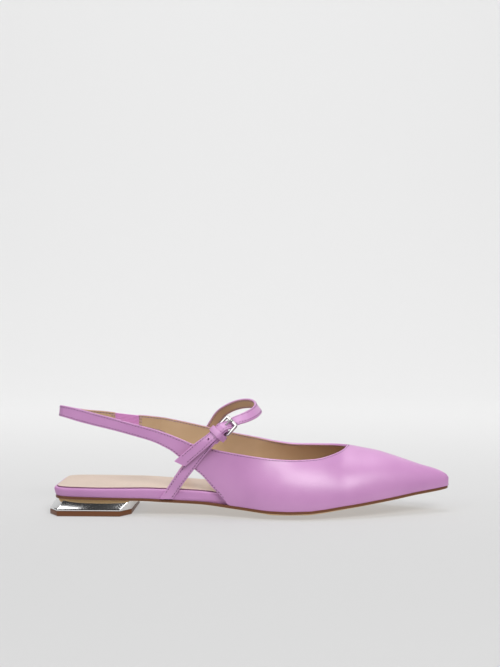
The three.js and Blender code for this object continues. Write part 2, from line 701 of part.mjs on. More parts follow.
// Wall of even thickness out of one sheet, whose triangles face outward.
function thicken(points, triangles, wall, settle = () => {}) {
  const raw = new THREE.BufferGeometry();
  raw.setAttribute("position", new THREE.BufferAttribute(new Float32Array(points.flatMap((p) => [p.x, p.y, p.z])), 3));
  raw.setIndex(triangles.flat());
  const sheet = mergeVertices(raw, 1e-3);
  const index = sheet.index.array;
  const faces = [];
  for (let i = 0; i < index.length; i += 3) {
    const [a, b, c] = index.slice(i, i + 3);
    if (a !== b && b !== c && c !== a) faces.push([a, b, c]);
  }
  sheet.setIndex(faces.flat());
  sheet.computeVertexNormals();
  const at = sheet.getAttribute("position");
  const normal = sheet.getAttribute("normal");
  const outer = Array.from({ length: at.count }, (_, i) => vec().fromBufferAttribute(at, i));
  const inner = outer.map((p, i) => p.clone().addScaledVector(vec().fromBufferAttribute(normal, i), -wall));
  inner.forEach((p, i) => settle(outer[i], p));
  const used = new Set(faces.flatMap(([a, b, c]) => [`${a},${b}`, `${b},${c}`, `${c},${a}`]));
  const n = outer.length;
  const all = faces.flatMap(([a, b, c]) => [[a, b, c], [a + n, c + n, b + n]]);
  for (const [a, b, c] of faces) {
    for (const [p, q] of [[a, b], [b, c], [c, a]]) {
      if (used.has(`${q},${p}`)) continue;
      all.push([q, p, p + n], [q, p + n, q + n]);
    }
  }
  return closedMesh([...outer, ...inner], all);
}

// Sheet out of rows of equal count, turned so that it faces outward.
function sheetOf(rows, turned) {
  const count = rows[0].length;
  const points = rows.flat();
  const triangles = [];
  for (let i = 0; i < rows.length - 1; i++) {
    for (let k = 0; k < count - 1; k++) {
      const [a, b] = [i * count + k, i * count + k + 1];
      const [c, d] = [a + count, b + count];
      triangles.push(...(turned ? [[a, b, d], [a, d, c]] : [[a, d, b], [a, c, d]]));
    }
  }
  return { points, triangles };
}

function joinSheets(sheets) {
  const points = [];
  const triangles = [];
  for (const sheet of sheets) {
    const start = points.length;
    points.push(...sheet.points);
    triangles.push(...sheet.triangles.map((face) => face.map((i) => i + start)));
  }
  return { points, triangles };
}

function upperGeometry() {
  const lateral = upperXs.map((_, i) => upperRow("lateral", i));
  const medial = upperXs.map((_, i) => upperRow("medial", i));
  const outerSling = [];
  for (let k = slingSteps; k >= 0; k--) {
    const t = k / slingSteps;
    if (t < slingEnd - 0.01) outerSling.push(slingRow(t));
  }
  outerSling.unshift(slingRow(slingEnd));
  const innerSling = [];
  for (let k = 0; k <= slingSteps; k++) {
    const t = k / slingSteps;
    if (t > quarterStart + 0.01) innerSling.push(slingRow(t));
  }
  innerSling.unshift(slingRow(quarterStart));
  const outer = sheetOf([...outerSling, ...lateral], false);
  const inner = sheetOf([...innerSling, ...medial], true);
  const sheet = joinSheets([outer, inner]);
  const settle = (outside, inside) => {
    if (outside.z - outsoleTopZ(outside.x, outside.y) > featherGap + closeTo || outside.x < sideCutX - 1) return;
    inside.setZ(outsoleTopZ(inside.x, inside.y) + featherGap);
  };
  return thicken(sheet.points, sheet.triangles, upperWall, settle);
}

function goreGeometry() {
  const steps = 6;
  const inset = (upperWall - goreThickness) / 2;
  const [from, to] = [slingAtX(goreBackX + seam), slingAtX(goreFrontX - seam)];
  const share = goreWidth / slingWidth;
  const rows = Array.from({ length: steps + 1 }, (_, k) => slingRow(mix(from, to, k / steps), share, inset));
  const sheet = sheetOf(rows, true);
  return thicken(sheet.points, sheet.triangles, goreThickness);
}

// A place given as shares of the sole's length, half the collar's width and the sling's height.
const place = (at, reach, height) => vec(atShare(at), reach * collarHalf, height * slingHeight);

// Buckle: its own axes, along the strap, across it and out of its face.
const buckleAt = place(0.4382, -1.114, 0.8555);
const buckleAlong = vec(0.68, 0.06, 0.73).normalize();
const buckleAcross = vec(-0.62, 0.58, 0.5).projectOnPlane(buckleAlong).normalize();
const buckleOut = vec().crossVectors(buckleAlong, buckleAcross).normalize();
const buckleWidth = strapWidth + 2 * buckleBar + 3 * seam;
const barReach = (buckleLength - buckleBar) / 2;
const barHalf = buckleBar / 2;
function fromBuckle(along, across, out) {
  return buckleAt.clone()
    .addScaledVector(buckleAlong, along)
    .addScaledVector(buckleAcross, across)
    .addScaledVector(buckleOut, out);
}
const fromHinge = (along, across, out) => fromBuckle(along - barReach, across, out);

// Regular section round a point, in the plane of two directions.
function sectionRing(at, a, b, radius, count = 8) {
  return Array.from({ length: count }, (_, k) => {
    const angle = ((k + 0.5) / count) * 2 * Math.PI;
    return at.clone().addScaledVector(a, radius * Math.cos(angle)).addScaledVector(b, radius * Math.sin(angle));
  });
}

function buckleFrameGeometry() {
  const [reach, wide] = [barReach, (buckleWidth - buckleBar) / 2];
  const corner = 1.1;
  const rings = [];
  for (const [sa, sw] of [[1, -1], [1, 1], [-1, 1], [-1, -1]]) {
    const middle = [sa * (reach - corner), sw * (wide - corner)];
    const start = Math.atan2(sw, sa) - Math.PI / 4;
    for (const share of [0, 0.5, 1]) {
      const angle = start + share * (Math.PI / 2);
      const [ca, cw] = [Math.cos(angle), Math.sin(angle)];
      const at = fromBuckle(middle[0] + corner * ca, middle[1] + corner * cw, 0);
      const outDir = buckleAlong.clone().multiplyScalar(ca).addScaledVector(buckleAcross, cw);
      rings.push(sectionRing(at, outDir, buckleOut, barHalf));
    }
  }
  return loft(rings, true);
}

// Tube along points, its rings set square to the path, with the given radius.
function tube(points, radius, count = 8) {
  const path = new THREE.CatmullRomCurve3(points, false, "centripetal");
  const steps = points.length * 2;
  const rings = Array.from({ length: steps + 1 }, (_, k) => {
    const t = k / steps;
    const along = path.getTangent(t);
    const a = buckleAcross.clone().projectOnPlane(along).normalize();
    const b = vec().crossVectors(along, a);
    return sectionRing(path.getPoint(t), a, b, radius, count);
  });
  return loft(rings);
}
const prongRadius = prongDiameter / 2;
const prongRest = barHalf + seam + prongRadius;
const prongPast = 1.4; // tip of the prong past the front bar
function prongPath(extra) {
  const eye = [320, 280, 240, 200, 160, 120, 90].map((turn, i) => {
    const angle = THREE.MathUtils.degToRad(turn + (i === 0 ? (extra * 180) / Math.PI / prongRest : 0));
    return fromHinge(prongRest * Math.cos(angle), 0, prongRest * Math.sin(angle));
  });
  const straight = [barReach * 0.7, barReach * 1.4, 2 * barReach + prongPast + extra];
  return [...eye, ...straight.map((along) => fromHinge(along, 0, prongRest))];
}
const prongGeometry = () => tube(prongPath(0), prongRadius);
const prongClearance = () => toSolid(tube(prongPath(seam), prongRadius + seam + 0.05));

// Strap: a flat band along a table of places, its width turned by the inward lean of its face.
function bandRings(rows, parts, width, thickness, slant, startSlant) {
  const path = new THREE.CatmullRomCurve3(rows.map((row) => row.at), false, "centripetal");
  const steps = (rows.length - 1) * parts;
  return Array.from({ length: steps + 1 }, (_, k) => {
    const t = k / steps;
    const i = Math.min(Math.floor(t * (rows.length - 1)), rows.length - 2);
    const f = t * (rows.length - 1) - i;
    const along = path.getTangent(t).normalize();
    const across = rows[i].across.clone().lerp(rows[i + 1].across, f).projectOnPlane(along).normalize();
    const out = vec().crossVectors(along, across);
    const end = k === steps ? slant : k === 0 ? startSlant : 0;
    const corner = (w, n) => path.getPoint(t)
      .addScaledVector(across, (w * width) / 2)
      .addScaledVector(out, (n * thickness) / 2)
      .addScaledVector(along, w * end);
    return [corner(-1, -1), corner(1, -1), corner(1, 1), corner(-1, 1)];
  });
}

const strapHalf = strapThickness / 2;
const foldRadius = barHalf + seam + strapHalf;
const legAcross = vec(-0.79, 0, 0.61);
const rimGap = (x) => seam + strapHalf - footbedInset(x) + 0.15;
const quarterReach = collarHalf + seam + strapHalf;
const foldOut = foldRadius - strapThickness - seam; // inner layer of the fold, below the bar
const tailOut = foldRadius + strapThickness + seam; // tail, over the outer layer

// Foot of a strap: against the footbed's rim, its lower end at the outsole.
function strapFoot(side) {
  const [low, high] = [atShare(0.285), atShare(0.2993)];
  const rimAt = (x) => swingAt(x) + side * (halfAt(x) + rimGap(x));
  return [
    { at: vec(low, rimAt(low), footbedBottomZ(low, 0) + strapWidth * 0.08), across: legAcross },
    { at: vec(high, rimAt(high), footbedBottomZ(high, 0) + footbedThickness), across: legAcross },
  ];
}

// Buckle strap: from the sole's edge up outside the quarter, round the hinge bar and back inside.
function buckleStrapGeometry() {
  const leg = [
    { at: place(0.3207, -1.007, 0.36), across: legAcross },
    { at: vec(atShare(0.3458), -quarterReach, 0.483 * slingHeight), across: legAcross },
    { at: vec(atShare(0.375), -quarterReach - 1.2, 0.62 * slingHeight), across: vec(-0.77, 0.12, 0.63) },
  ];
  const round = [90, 60, 30, 0, -30, -60, -90].map((turn) => THREE.MathUtils.degToRad(turn));
  const fold = [
    [-8.5, foldRadius],
    [-2.6, foldRadius],
    ...round.map((angle) => [foldRadius * Math.cos(angle), foldRadius * Math.sin(angle)]),
    [-2.4, -foldRadius * 0.9],
    [-5.2, foldOut - 0.6],
    [-9.5, foldOut],
  ].map(([along, out]) => ({ at: fromHinge(along, 0, out), across: buckleAcross }));
  const band = toSolid(loft(bandRings([...strapFoot(-1), ...leg, ...fold], 3, strapWidth, strapThickness, 0, footSlant)));
  return toGeometry(band.subtract(prongClearance()));
}

// Instep strap: from the inner sole edge over the instep, under the front bar, out over the hinge.
const underBar = barHalf + seam + strapHalf;
const instepRows = [
  ...strapFoot(1),
  { at: place(0.3207, 0.99, 0.36), across: legAcross },
  { at: vec(atShare(0.3458), quarterReach, 0.483 * slingHeight), across: legAcross },
  { at: vec(atShare(0.3717), quarterReach + 0.4, 0.662 * slingHeight), across: legAcross },
  { at: place(0.389, 1.043, 0.777), across: vec(-0.7, -0.3, 0.6) },
  { at: place(0.4087, 0.893, 0.883), across: vec(-0.62, -0.42, 0.65) },
  { at: place(0.4342, 0.679, 0.952), across: vec(-0.55, -0.4, 0.7) },
  { at: place(0.4645, 0.443, 0.999), across: vec(-0.55, -0.2, 0.8) },
  { at: place(0.489, 0.214, 1.014), across: vec(-0.57, -0.05, 0.82) },
  { at: place(0.505, -0.018, 1.008), across: vec(-0.58, 0.15, 0.8) },
  { at: place(0.5115, -0.268, 0.988), across: vec(-0.55, 0.35, 0.76) },
  { at: place(0.507, -0.55, 0.957), across: vec(-0.45, 0.5, 0.76) },
  { at: place(0.495, -0.78, 0.93), across: vec(-0.4, 0.52, 0.76) },
  { at: place(0.478, -0.945, 0.908), across: vec(-0.42, 0.54, 0.74) },
  { at: fromBuckle(barReach + 0.9, -0.5, -underBar - 0.1), across: buckleAcross },
  { at: fromBuckle(barReach - 1.8, -0.3, -underBar + 0.1), across: buckleAcross },
  { at: fromHinge(3.1, 0, tailOut - 1.45), across: buckleAcross },
  { at: fromHinge(1.2, 0.1, tailOut - 0.05), across: buckleAcross },
  { at: fromHinge(-0.8, 0.2, tailOut + 0.1), across: buckleAcross },
  { at: fromHinge(-8.5, 0.5, tailOut + 0.1), across: buckleAcross },
  { at: vec(atShare(0.3622), -quarterReach - 4.05, 0.639 * slingHeight), across: vec(-0.72, 0.14, 0.69) },
  { at: vec(atShare(0.321), -quarterReach - 2.6, 0.504 * slingHeight), across: vec(-0.72, 0.05, 0.69) },
];
const prongRow = 16.85; // where the prong passes, counted in rows of the table
function instepStrapGeometry() {
  let band = toSolid(loft(bandRings(instepRows, 3, strapWidth, strapThickness, tailSlant, footSlant)));
  band = band.subtract(prongClearance());
  const path = new THREE.CatmullRomCurve3(instepRows.map((row) => row.at), false, "centripetal");
  const whole = path.getLength();
  for (const holes of [-1, 1, 2]) {
    const u = arcShare(path, prongRow / (instepRows.length - 1)) + (holes * holeSpacing) / whole;
    const t = path.getUtoTmapping(u);
    const along = path.getTangent(t);
    const i = Math.floor(t * (instepRows.length - 1));
    const across = instepRows[i].across.clone().projectOnPlane(along).normalize();
    const out = vec().crossVectors(along, across);
    const drill = [-strapThickness, strapThickness].map((reach) =>
      sectionRing(path.getPoint(t).addScaledVector(out, reach), along, across, holeDiameter / 2));
    band = band.subtract(toSolid(loft(drill)));
  }
  return toGeometry(band);
}
function arcShare(path, t) {
  const parts = 400;
  const lengths = path.getLengths(parts);
  return lengths[Math.round(t * parts)] / lengths[parts];
}

// Keeper: a closed band round both layers of the buckle strap and the tail.
function keeperGeometry() {
  const along = -barHalf - seam - 0.2 - keeperWidth / 2;
  const low = -foldRadius - strapHalf - seam;
  const high = tailOut + strapHalf + seam + 0.1;
  const wide = strapWidth / 2 + seam + 0.45;
  const half = keeperWidth / 2;
  const rings = [[1, -1], [1, 1], [-1, 1], [-1, -1]].map(([sn, sw]) => {
    const n = sn > 0 ? high : low;
    const corner = (grow, a) => fromHinge(along + a, sw * (wide + grow) + 0.2, n + sn * grow);
    return [corner(0, -half), corner(0, half), corner(keeperThickness, half), corner(keeperThickness, -half)];
  });
  return loft(rings, true);
}

// Finishes, one for each piece
const finish = (color, roughness, metalness) => new THREE.MeshStandardMaterial({ color, roughness, metalness });
const pieces = [
  ["outsole", outsoleGeometry, finish(0x7d4b2a, 0.45, 0)],
  ["top_lift", topLiftGeometry, finish(0x6e4123, 0.5, 0)],
  ["heel_block", heelBlockGeometry, finish(0xd8d8d8, 0.06, 1)],
  ["footbed", footbedGeometry, finish(0xca96c8, 0.42, 0)],
  ["insole_sock", sockGeometry, finish(0xdcc4b0, 0.6, 0)],
  ["upper", upperGeometry, finish(0xcc96ca, 0.42, 0)],
  ["elastic_gore", goreGeometry, finish(0xcd78c8, 0.8, 0)],
  ["buckle_strap", buckleStrapGeometry, finish(0xca96c8, 0.42, 0)],
  ["instep_strap", instepStrapGeometry, finish(0xca96c8, 0.42, 0)],
  ["keeper", keeperGeometry, finish(0xc48fc2, 0.42, 0)],
  ["buckle_frame", buckleFrameGeometry, finish(0xcfcfcf, 0.12, 1)],
  ["buckle_prong", prongGeometry, finish(0xd6d6d6, 0.12, 1)],
];

const shoe = new THREE.Group();
for (const [name, make, material] of pieces) {
  const mesh = new THREE.Mesh(make(), material);
  mesh.name = name;
  shoe.add(mesh);
}

export default shoe;
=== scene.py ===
"""Looks of a women's flat sling back shoe, right foot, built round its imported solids.

Lengths are in millimetres, as in the solids' own source, and each mesh is brought to metres when
it is finished. +X runs to the toe, +Y to the inner side of the foot, +Z up.
"""

import logging
import math
from bisect import bisect_right
from collections.abc import Callable, Sequence
from dataclasses import dataclass, field
from enum import Enum

import bmesh
import bpy
from mathutils import Matrix, Vector
from mathutils.bvhtree import BVHTree

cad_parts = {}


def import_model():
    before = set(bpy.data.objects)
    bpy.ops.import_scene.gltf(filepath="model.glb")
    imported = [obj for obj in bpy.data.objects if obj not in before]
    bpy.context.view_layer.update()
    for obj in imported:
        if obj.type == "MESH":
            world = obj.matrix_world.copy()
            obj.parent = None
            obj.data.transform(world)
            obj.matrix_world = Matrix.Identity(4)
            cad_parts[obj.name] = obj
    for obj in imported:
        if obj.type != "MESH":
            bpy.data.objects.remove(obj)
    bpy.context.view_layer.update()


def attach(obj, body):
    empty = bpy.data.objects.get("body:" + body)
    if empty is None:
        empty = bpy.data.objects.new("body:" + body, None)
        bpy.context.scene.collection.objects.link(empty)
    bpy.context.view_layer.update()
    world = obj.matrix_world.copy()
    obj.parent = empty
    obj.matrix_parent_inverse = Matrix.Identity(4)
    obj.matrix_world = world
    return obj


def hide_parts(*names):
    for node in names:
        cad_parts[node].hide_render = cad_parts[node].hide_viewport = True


LOG = logging.getLogger("shoe")
MM = 0.001
MERGE = 0.002
PATH_PARTS = 600

Line = list[Vector]
Shade = tuple[float, float, float]
Inset = Callable[[float], float]
Face = Callable[[float, float], float]
Pick = Callable[[int, int], int]


class Slot(Enum):
    """Material slots."""

    UPPER = "upper_leather"
    FOOTBED = "footbed_cover"
    INSOLE = "insole_leather"
    ELASTIC = "elastic"
    SOLE = "sole_brown"
    HEEL = "heel_mirror"
    BUCKLE = "buckle_metal"


class Side(Enum):
    """Side of the foot, with the sign of its Y."""

    OUTER = -1
    INNER = 1


def mix(a: float, b: float, t: float) -> float:
    """Value at share t of the way from a to b."""
    return a + (b - a) * t


def ease(x: float, low: float, high: float) -> float:
    """Smooth step from 0 at low to 1 at high."""
    t = min(1.0, max(0.0, (x - low) / (high - low)))
    return t * t * (3 - 2 * t)


def spread(count: int, power: float = 1.0) -> list[float]:
    """Shares from 0 to 1 in count steps, crowded towards 1 by a power above 1."""
    return [1 - (1 - k / count) ** power for k in range(count + 1)]


def run_lengths(points: Sequence[Vector]) -> list[float]:
    """Length of a line up to each of its points.

    Args:
        points: the line.

    Returns:
        The lengths, from 0.
    """
    found = [0.0]
    for a, b in zip(points, points[1:]):
        found.append(found[-1] + (b - a).length)
    return found


def found_at(lengths: Sequence[float], wanted: float) -> tuple[int, float]:
    """Finds a length on a line.

    Args:
        lengths: the length up to each of the line's points.
        wanted: the length to find.

    Returns:
        The number of the point before it, and the share of the way to the next.
    """
    i = min(max(bisect_right(lengths, wanted) - 1, 0), len(lengths) - 2)
    return i, min(1.0, (wanted - lengths[i]) / max(1e-6, lengths[i + 1] - lengths[i]))


class Curve:
    """Smooth curve through the rows of a table, a cubic that never overshoots them."""

    def __init__(self, places: Sequence[float], values: Sequence[float]) -> None:
        """Sets the slopes.

        Args:
            places: the rows' places, rising.
            values: the value at each place.
        """
        self.places = list(places)
        self.values = list(values)
        pairs = list(zip(self.places, self.values))
        steep = [(b[1] - a[1]) / (b[0] - a[0]) for a, b in zip(pairs, pairs[1:])]
        inner = [2 * a * b / (a + b) if a * b > 0 else 0.0 for a, b in zip(steep, steep[1:])]
        self.slopes = [steep[0], *inner, steep[-1]]

    def __call__(self, x: float) -> float:
        """Value of the curve, level beyond its ends.

        Args:
            x: the place.

        Returns:
            The value there.
        """
        if x <= self.places[0]:
            return self.values[0]
        if x >= self.places[-1]:
            return self.values[-1]
        i = bisect_right(self.places, x) - 1
        step = self.places[i + 1] - self.places[i]
        t = (x - self.places[i]) / step
        t2, t3 = t * t, t * t * t
        return (
            (2 * t3 - 3 * t2 + 1) * self.values[i]
            + (t3 - 2 * t2 + t) * step * self.slopes[i]
            + (3 * t2 - 2 * t3) * self.values[i + 1]
            + (t3 - t2) * step * self.slopes[i + 1]
        )


class Path:
    """Smooth line through points in space, its knots set by the root of their distances."""

    def __init__(self, points: Sequence[Vector]) -> None:
        """Keeps the points, with one more beyond each end.

        Args:
            points: places that the path runs through.
        """
        first, last = points[0] * 2 - points[1], points[-1] * 2 - points[-2]
        self.points = [first, *points, last]
        self.spans = len(points) - 1

    def point(self, t: float) -> Vector:
        """Place on the path.

        Args:
            t: share of the path's spans.

        Returns:
            The place.
        """
        place = min(max(t, 0.0), 1.0) * self.spans
        i = min(int(place), self.spans - 1)
        p0, p1, p2, p3 = self.points[i : i + 4]
        knots = [max(1e-4, math.sqrt((b - a).length)) for a, b in ((p0, p1), (p1, p2), (p2, p3))]
        d0, d1, d2 = knots
        m1 = ((p1 - p0) / d0 - (p2 - p0) / (d0 + d1) + (p2 - p1) / d1) * d1
        m2 = ((p2 - p1) / d1 - (p3 - p1) / (d1 + d2) + (p3 - p2) / d2) * d1
        w = place - i
        w2, w3 = w * w, w * w * w
        return (
            p1 * (2 * w3 - 3 * w2 + 1)
            + m1 * (w3 - 2 * w2 + w)
            + p2 * (3 * w2 - 2 * w3)
            + m2 * (w3 - w2)
        )

    def tangent(self, t: float) -> Vector:
        """Unit direction of the path at share t."""
        near = 1e-4
        return (self.point(min(1.0, t + near)) - self.point(max(0.0, t - near))).normalized()

    def lengths(self) -> list[float]:
        """Length of the path up to each of its even shares."""
        return run_lengths([self.point(k / PATH_PARTS) for k in range(PATH_PARTS + 1)])


def along_path(path: Path, step: float) -> list[float]:
    """Shares of a path at about even lengths.

    Args:
        path: the path.
        step: greatest length between two shares, in millimetres.

    Returns:
        The shares, from 0 to 1.
    """
    lengths = path.lengths()
    count = math.ceil(lengths[-1] / step)
    at = Curve(lengths, [k / PATH_PARTS for k in range(PATH_PARTS + 1)])
    return [at(lengths[-1] * k / count) for k in range(count + 1)]


def share_at(path: Path, row: float, beyond: float) -> float:
    """Share of a path at a length beyond one of its rows.

    Args:
        path: the path.
        row: number of the row, with its fraction.
        beyond: length past that row, in millimetres.

    Returns:
        The share, from 0 to 1.
    """
    lengths = path.lengths()
    wanted = lengths[round(row / path.spans * PATH_PARTS)] + beyond
    return min(max(bisect_right(lengths, wanted) / PATH_PARTS, 0.0), 1.0)


def bezier(points: Sequence[Vector], t: float) -> Vector:
    """Place on a cubic.

    Args:
        points: its four control points.
        t: share of the way.

    Returns:
        The place.
    """
    a, b, c, d = points
    s = 1 - t
    return a * (s * s * s) + b * (3 * s * s * t) + c * (3 * s * t * t) + d * (t * t * t)


SEAT_PLAN = (
    (0, 0.62), (0.0018, 0.72), (0.006, 0.795), (0.0145, 0.872), (0.029, 0.934), (0.052, 0.975),
    (0.085, 0.995), (0.12, 1), (0.183, 0.974),
)
BALL_PLAN = (
    (0.276, 0.655, -0.17), (0.368, 0.642, -0.5), (0.461, 0.769, -0.75), (0.516, 0.89, -0.67),
    (0.571, 0.974, -0.4), (0.631, 1, -0.03), (0.682, 0.952, 0.17), (0.756, 0.813, 0.37),
    (0.83, 0.618, 0.5), (0.904, 0.392, 0.63), (0.96, 0.215, 0.85), (0.978, 0.158, 0.93),
    (0.989, 0.113, 0.97), (0.9952, 0.077, 1), (0.9987, 0.042, 1), (1, 0, 1),
)
SEAT_UNDERSIDE = (
    (0, 1, 0), (0.09, 0.96, 0), (0.15, 0.933, 0), (0.22, 0.9, 0), (0.27, 0.83, 0),
    (0.313, 0.775, 0.03), (0.368, 0.68, 0.12), (0.446, 0.44, 0.32), (0.49, 0.26, 0.56),
    (0.527, 0.1, 0.78), (0.549, 0, 0.97), (0.59, 0, 0.91),
)
TOE_UNDERSIDE = (
    (0.631, 0.005, 0.96), (0.675, 0.085, 0.9), (0.712, 0.19, 0.81), (0.76, 0.32, 0.67),
    (0.808, 0.46, 0.52), (0.858, 0.605, 0.38), (0.908, 0.765, 0.24), (0.97, 0.92, 0.07),
    (1, 1, 0),
)


@dataclass
class Last:
    """Form that the shoe is built over: the plan and the underside of its sole."""

    sole_length: float = 270.7
    seat_setback: float = 24.8
    ball_width: float = 74.8
    seat_width: float = 55.0
    toe_swing: float = 3.0
    seat_height: float = 11.2
    toe_spring: float = 15.6
    ball_camber: float = 4.2
    tread_share: float = 0.4
    camber_power: float = 1.6
    outsole_thickness: float = 1.9
    seam: float = 0.3

    def __post_init__(self) -> None:
        """Draws the curves of the plan and of the underside."""
        seat, ball = self.seat_width / 2, self.ball_width / 2
        plan = [(at, half * seat, 0.0) for at, half in SEAT_PLAN]
        plan += [(at, half * ball, swing * self.toe_swing) for at, half, swing in BALL_PLAN]
        xs = [self.at(row[0]) for row in plan]
        self.half = Curve(xs, [row[1] for row in plan])
        self.swing = Curve(xs, [row[2] for row in plan])
        under = [(at, low * self.seat_height, rise) for at, low, rise in SEAT_UNDERSIDE]
        under += [(at, low * self.toe_spring, rise) for at, low, rise in TOE_UNDERSIDE]
        xs = [self.at(row[0]) for row in under]
        self.middle = Curve(xs, [row[1] for row in under])
        self.camber = Curve(xs, [row[2] * self.ball_camber for row in under])
        self.toe_tip = self.at(1)

    def at(self, share: float) -> float:
        """X of a share of the sole's length."""
        return share * self.sole_length - self.seat_setback

    def underside(self, x: float, y: float) -> float:
        """Height of the outsole's underside.

        Args:
            x: place along the shoe.
            y: place across it.

        Returns:
            The height above the floor.
        """
        out = abs(y - self.swing(x)) / max(self.half(x), 1.0)
        past = max(0.0, min(out, 1.05) - self.tread_share) / (1 - self.tread_share)
        return self.middle(x) + self.camber(x) * past**self.camber_power

    def top(self, x: float, y: float) -> float:
        """Height of the outsole's upper face."""
        return self.underside(x, y) + self.outsole_thickness

    def stations(self) -> list[float]:
        """Places along the sole, crowded at the round of the seat and at the tip.

        Returns:
            The places, from the seat to the tip.
        """
        back, waist, front = self.at(0), self.at(0.1), self.at(0.93)
        seat = [mix(waist, back, share) for share in spread(18, 2.2)][::-1]
        toe = [mix(front, self.toe_tip, share) for share in spread(24, 2.0)]
        steps = 84
        middle = [mix(waist, front, k / steps) for k in range(1, steps)]
        return seat + middle + toe

    def edges(self, stations: Sequence[float], inset: Inset) -> tuple[Line, Line]:
        """Both edges of the plan, moved in.

        Args:
            stations: places along the sole, the last at the tip.
            inset: how far the edge moves in at each x.

        Returns:
            The outer and the inner edge, each from back to tip.
        """
        outer = [Vector((x, self.swing(x) - self.half(x), 0)) for x in stations]
        inner = [Vector((x, self.swing(x) + self.half(x), 0)) for x in stations[:-1]]
        ring = outer + inner[::-1]
        moved = []
        for i, p in enumerate(ring):
            a = (p - ring[i - 1]).normalized()
            b = (ring[(i + 1) % len(ring)] - p).normalized()
            inward = Vector((-(a.y + b.y), a.x + b.x, 0)).normalized()
            reach = inset(p.x) / max(0.5, inward.dot(Vector((-a.y, a.x, 0))))
            moved.append(p + inward * reach)
        outer = moved[: len(stations)]
        return outer, [*moved[len(stations):][::-1], outer[-1]]


def ranged(
    value: bpy.types.NodeSocket,
    span: tuple[float, float],
    to: tuple[float, float] = (0.0, 1.0),
    smooth: bool = False,
) -> bpy.types.NodeSocket:
    """Spreads a node's value from one range over another.

    Args:
        value: the value's socket.
        span: its range.
        to: the new range.
        smooth: whether the ends run out softly.

    Returns:
        The socket of the new value.
    """
    tree = value.id_data
    node = tree.nodes.new("ShaderNodeMapRange")
    if smooth:
        node.interpolation_type = "SMOOTHSTEP"
    for name, number in zip(("From Min", "From Max", "To Min", "To Max"), (*span, *to)):
        node.inputs[name].default_value = number
    tree.links.new(value, node.inputs["Value"])
    return node.outputs["Result"]


@dataclass(frozen=True)
class Finish:
    """Surface of a material, with its colour in linear light and its grain in millimetres."""

    name: str
    colour: Shade
    deep: Shade
    roughness: float = 0.5
    metallic: float = 0.0
    grain: float = 0.9
    relief: float = 0.04
    mottle: float = 30.0
    coat: float = 0.0
    coat_roughness: float = 0.28
    wear: float = 0.12
    patches: tuple[float, float] = (0.32, 0.62)
    scuffs: tuple[float, float] = (0.3, 0.7)
    sheen: float = 0.0
    stretch: tuple[float, float, float] = (1.0, 1.0, 1.0)

    def material(self) -> bpy.types.Material:
        """Makes the finish's material, once.

        Returns:
            The material.
        """
        made = bpy.data.materials.get(self.name)
        if made is not None:
            return made
        made = bpy.data.materials.new(self.name)
        made.use_nodes = True
        made.diffuse_color = (*self.colour, 1)
        nodes, links = made.node_tree.nodes, made.node_tree.links
        shader = nodes["Principled BSDF"]
        shader.inputs["Metallic"].default_value = self.metallic
        shader.inputs["Coat Weight"].default_value = self.coat
        shader.inputs["Coat Roughness"].default_value = self.coat_roughness
        shader.inputs["Sheen Weight"].default_value = self.sheen
        place = nodes.new("ShaderNodeTexCoord")
        turn = nodes.new("ShaderNodeMapping")
        turn.inputs["Scale"].default_value = [1 / (MM * share) for share in self.stretch]
        links.new(place.outputs["Object"], turn.inputs["Vector"])
        patch = self._noise(turn, 1 / self.mottle, 3)
        blend = nodes.new("ShaderNodeMix")
        blend.data_type = "RGBA"
        blend.inputs["A"].default_value = (*self.deep, 1)
        blend.inputs["B"].default_value = (*self.colour, 1)
        links.new(ranged(patch, self.patches), blend.inputs["Factor"])
        links.new(blend.outputs["Result"], shader.inputs["Base Color"])
        worn = self._noise(turn, 0.35 / self.grain, 4)
        rough = (self.roughness * (1 - self.wear), min(1.0, self.roughness * (1 + self.wear)))
        links.new(ranged(worn, self.scuffs, rough), shader.inputs["Roughness"])
        self._relief(turn, shader)
        return made

    def _noise(self, turn: bpy.types.Node, scale: float, detail: int) -> bpy.types.NodeSocket:
        """Noise over the piece.

        Args:
            turn: the node that gives the place in millimetres.
            scale: waves a millimetre.
            detail: octaves.

        Returns:
            The noise's value.
        """
        noise = turn.id_data.nodes.new("ShaderNodeTexNoise")
        noise.inputs["Scale"].default_value = scale
        noise.inputs["Detail"].default_value = detail
        turn.id_data.links.new(turn.outputs["Vector"], noise.inputs["Vector"])
        return noise.outputs["Fac"]

    def _relief(self, turn: bpy.types.Node, shader: bpy.types.Node) -> None:
        """Fine grain of closed pores over a soft unevenness.

        Args:
            turn: the node that gives the place in millimetres.
            shader: the material's shader.
        """
        nodes, links = turn.id_data.nodes, turn.id_data.links
        cells = nodes.new("ShaderNodeTexVoronoi")
        cells.feature = "SMOOTH_F1"
        cells.inputs["Scale"].default_value = 1 / self.grain
        cells.inputs["Smoothness"].default_value = 0.6
        links.new(turn.outputs["Vector"], cells.inputs["Vector"])
        soft = self._noise(turn, 0.12 / self.grain, 2)
        both = nodes.new("ShaderNodeMath")
        both.operation = "MULTIPLY_ADD"
        both.inputs[1].default_value = 1.5
        links.new(soft, both.inputs[0])
        links.new(cells.outputs["Distance"], both.inputs[2])
        bump = nodes.new("ShaderNodeBump")
        bump.inputs["Strength"].default_value = 1.0
        bump.inputs["Distance"].default_value = self.relief * MM
        links.new(both.outputs["Value"], bump.inputs["Height"])
        links.new(bump.outputs["Normal"], shader.inputs["Normal"])


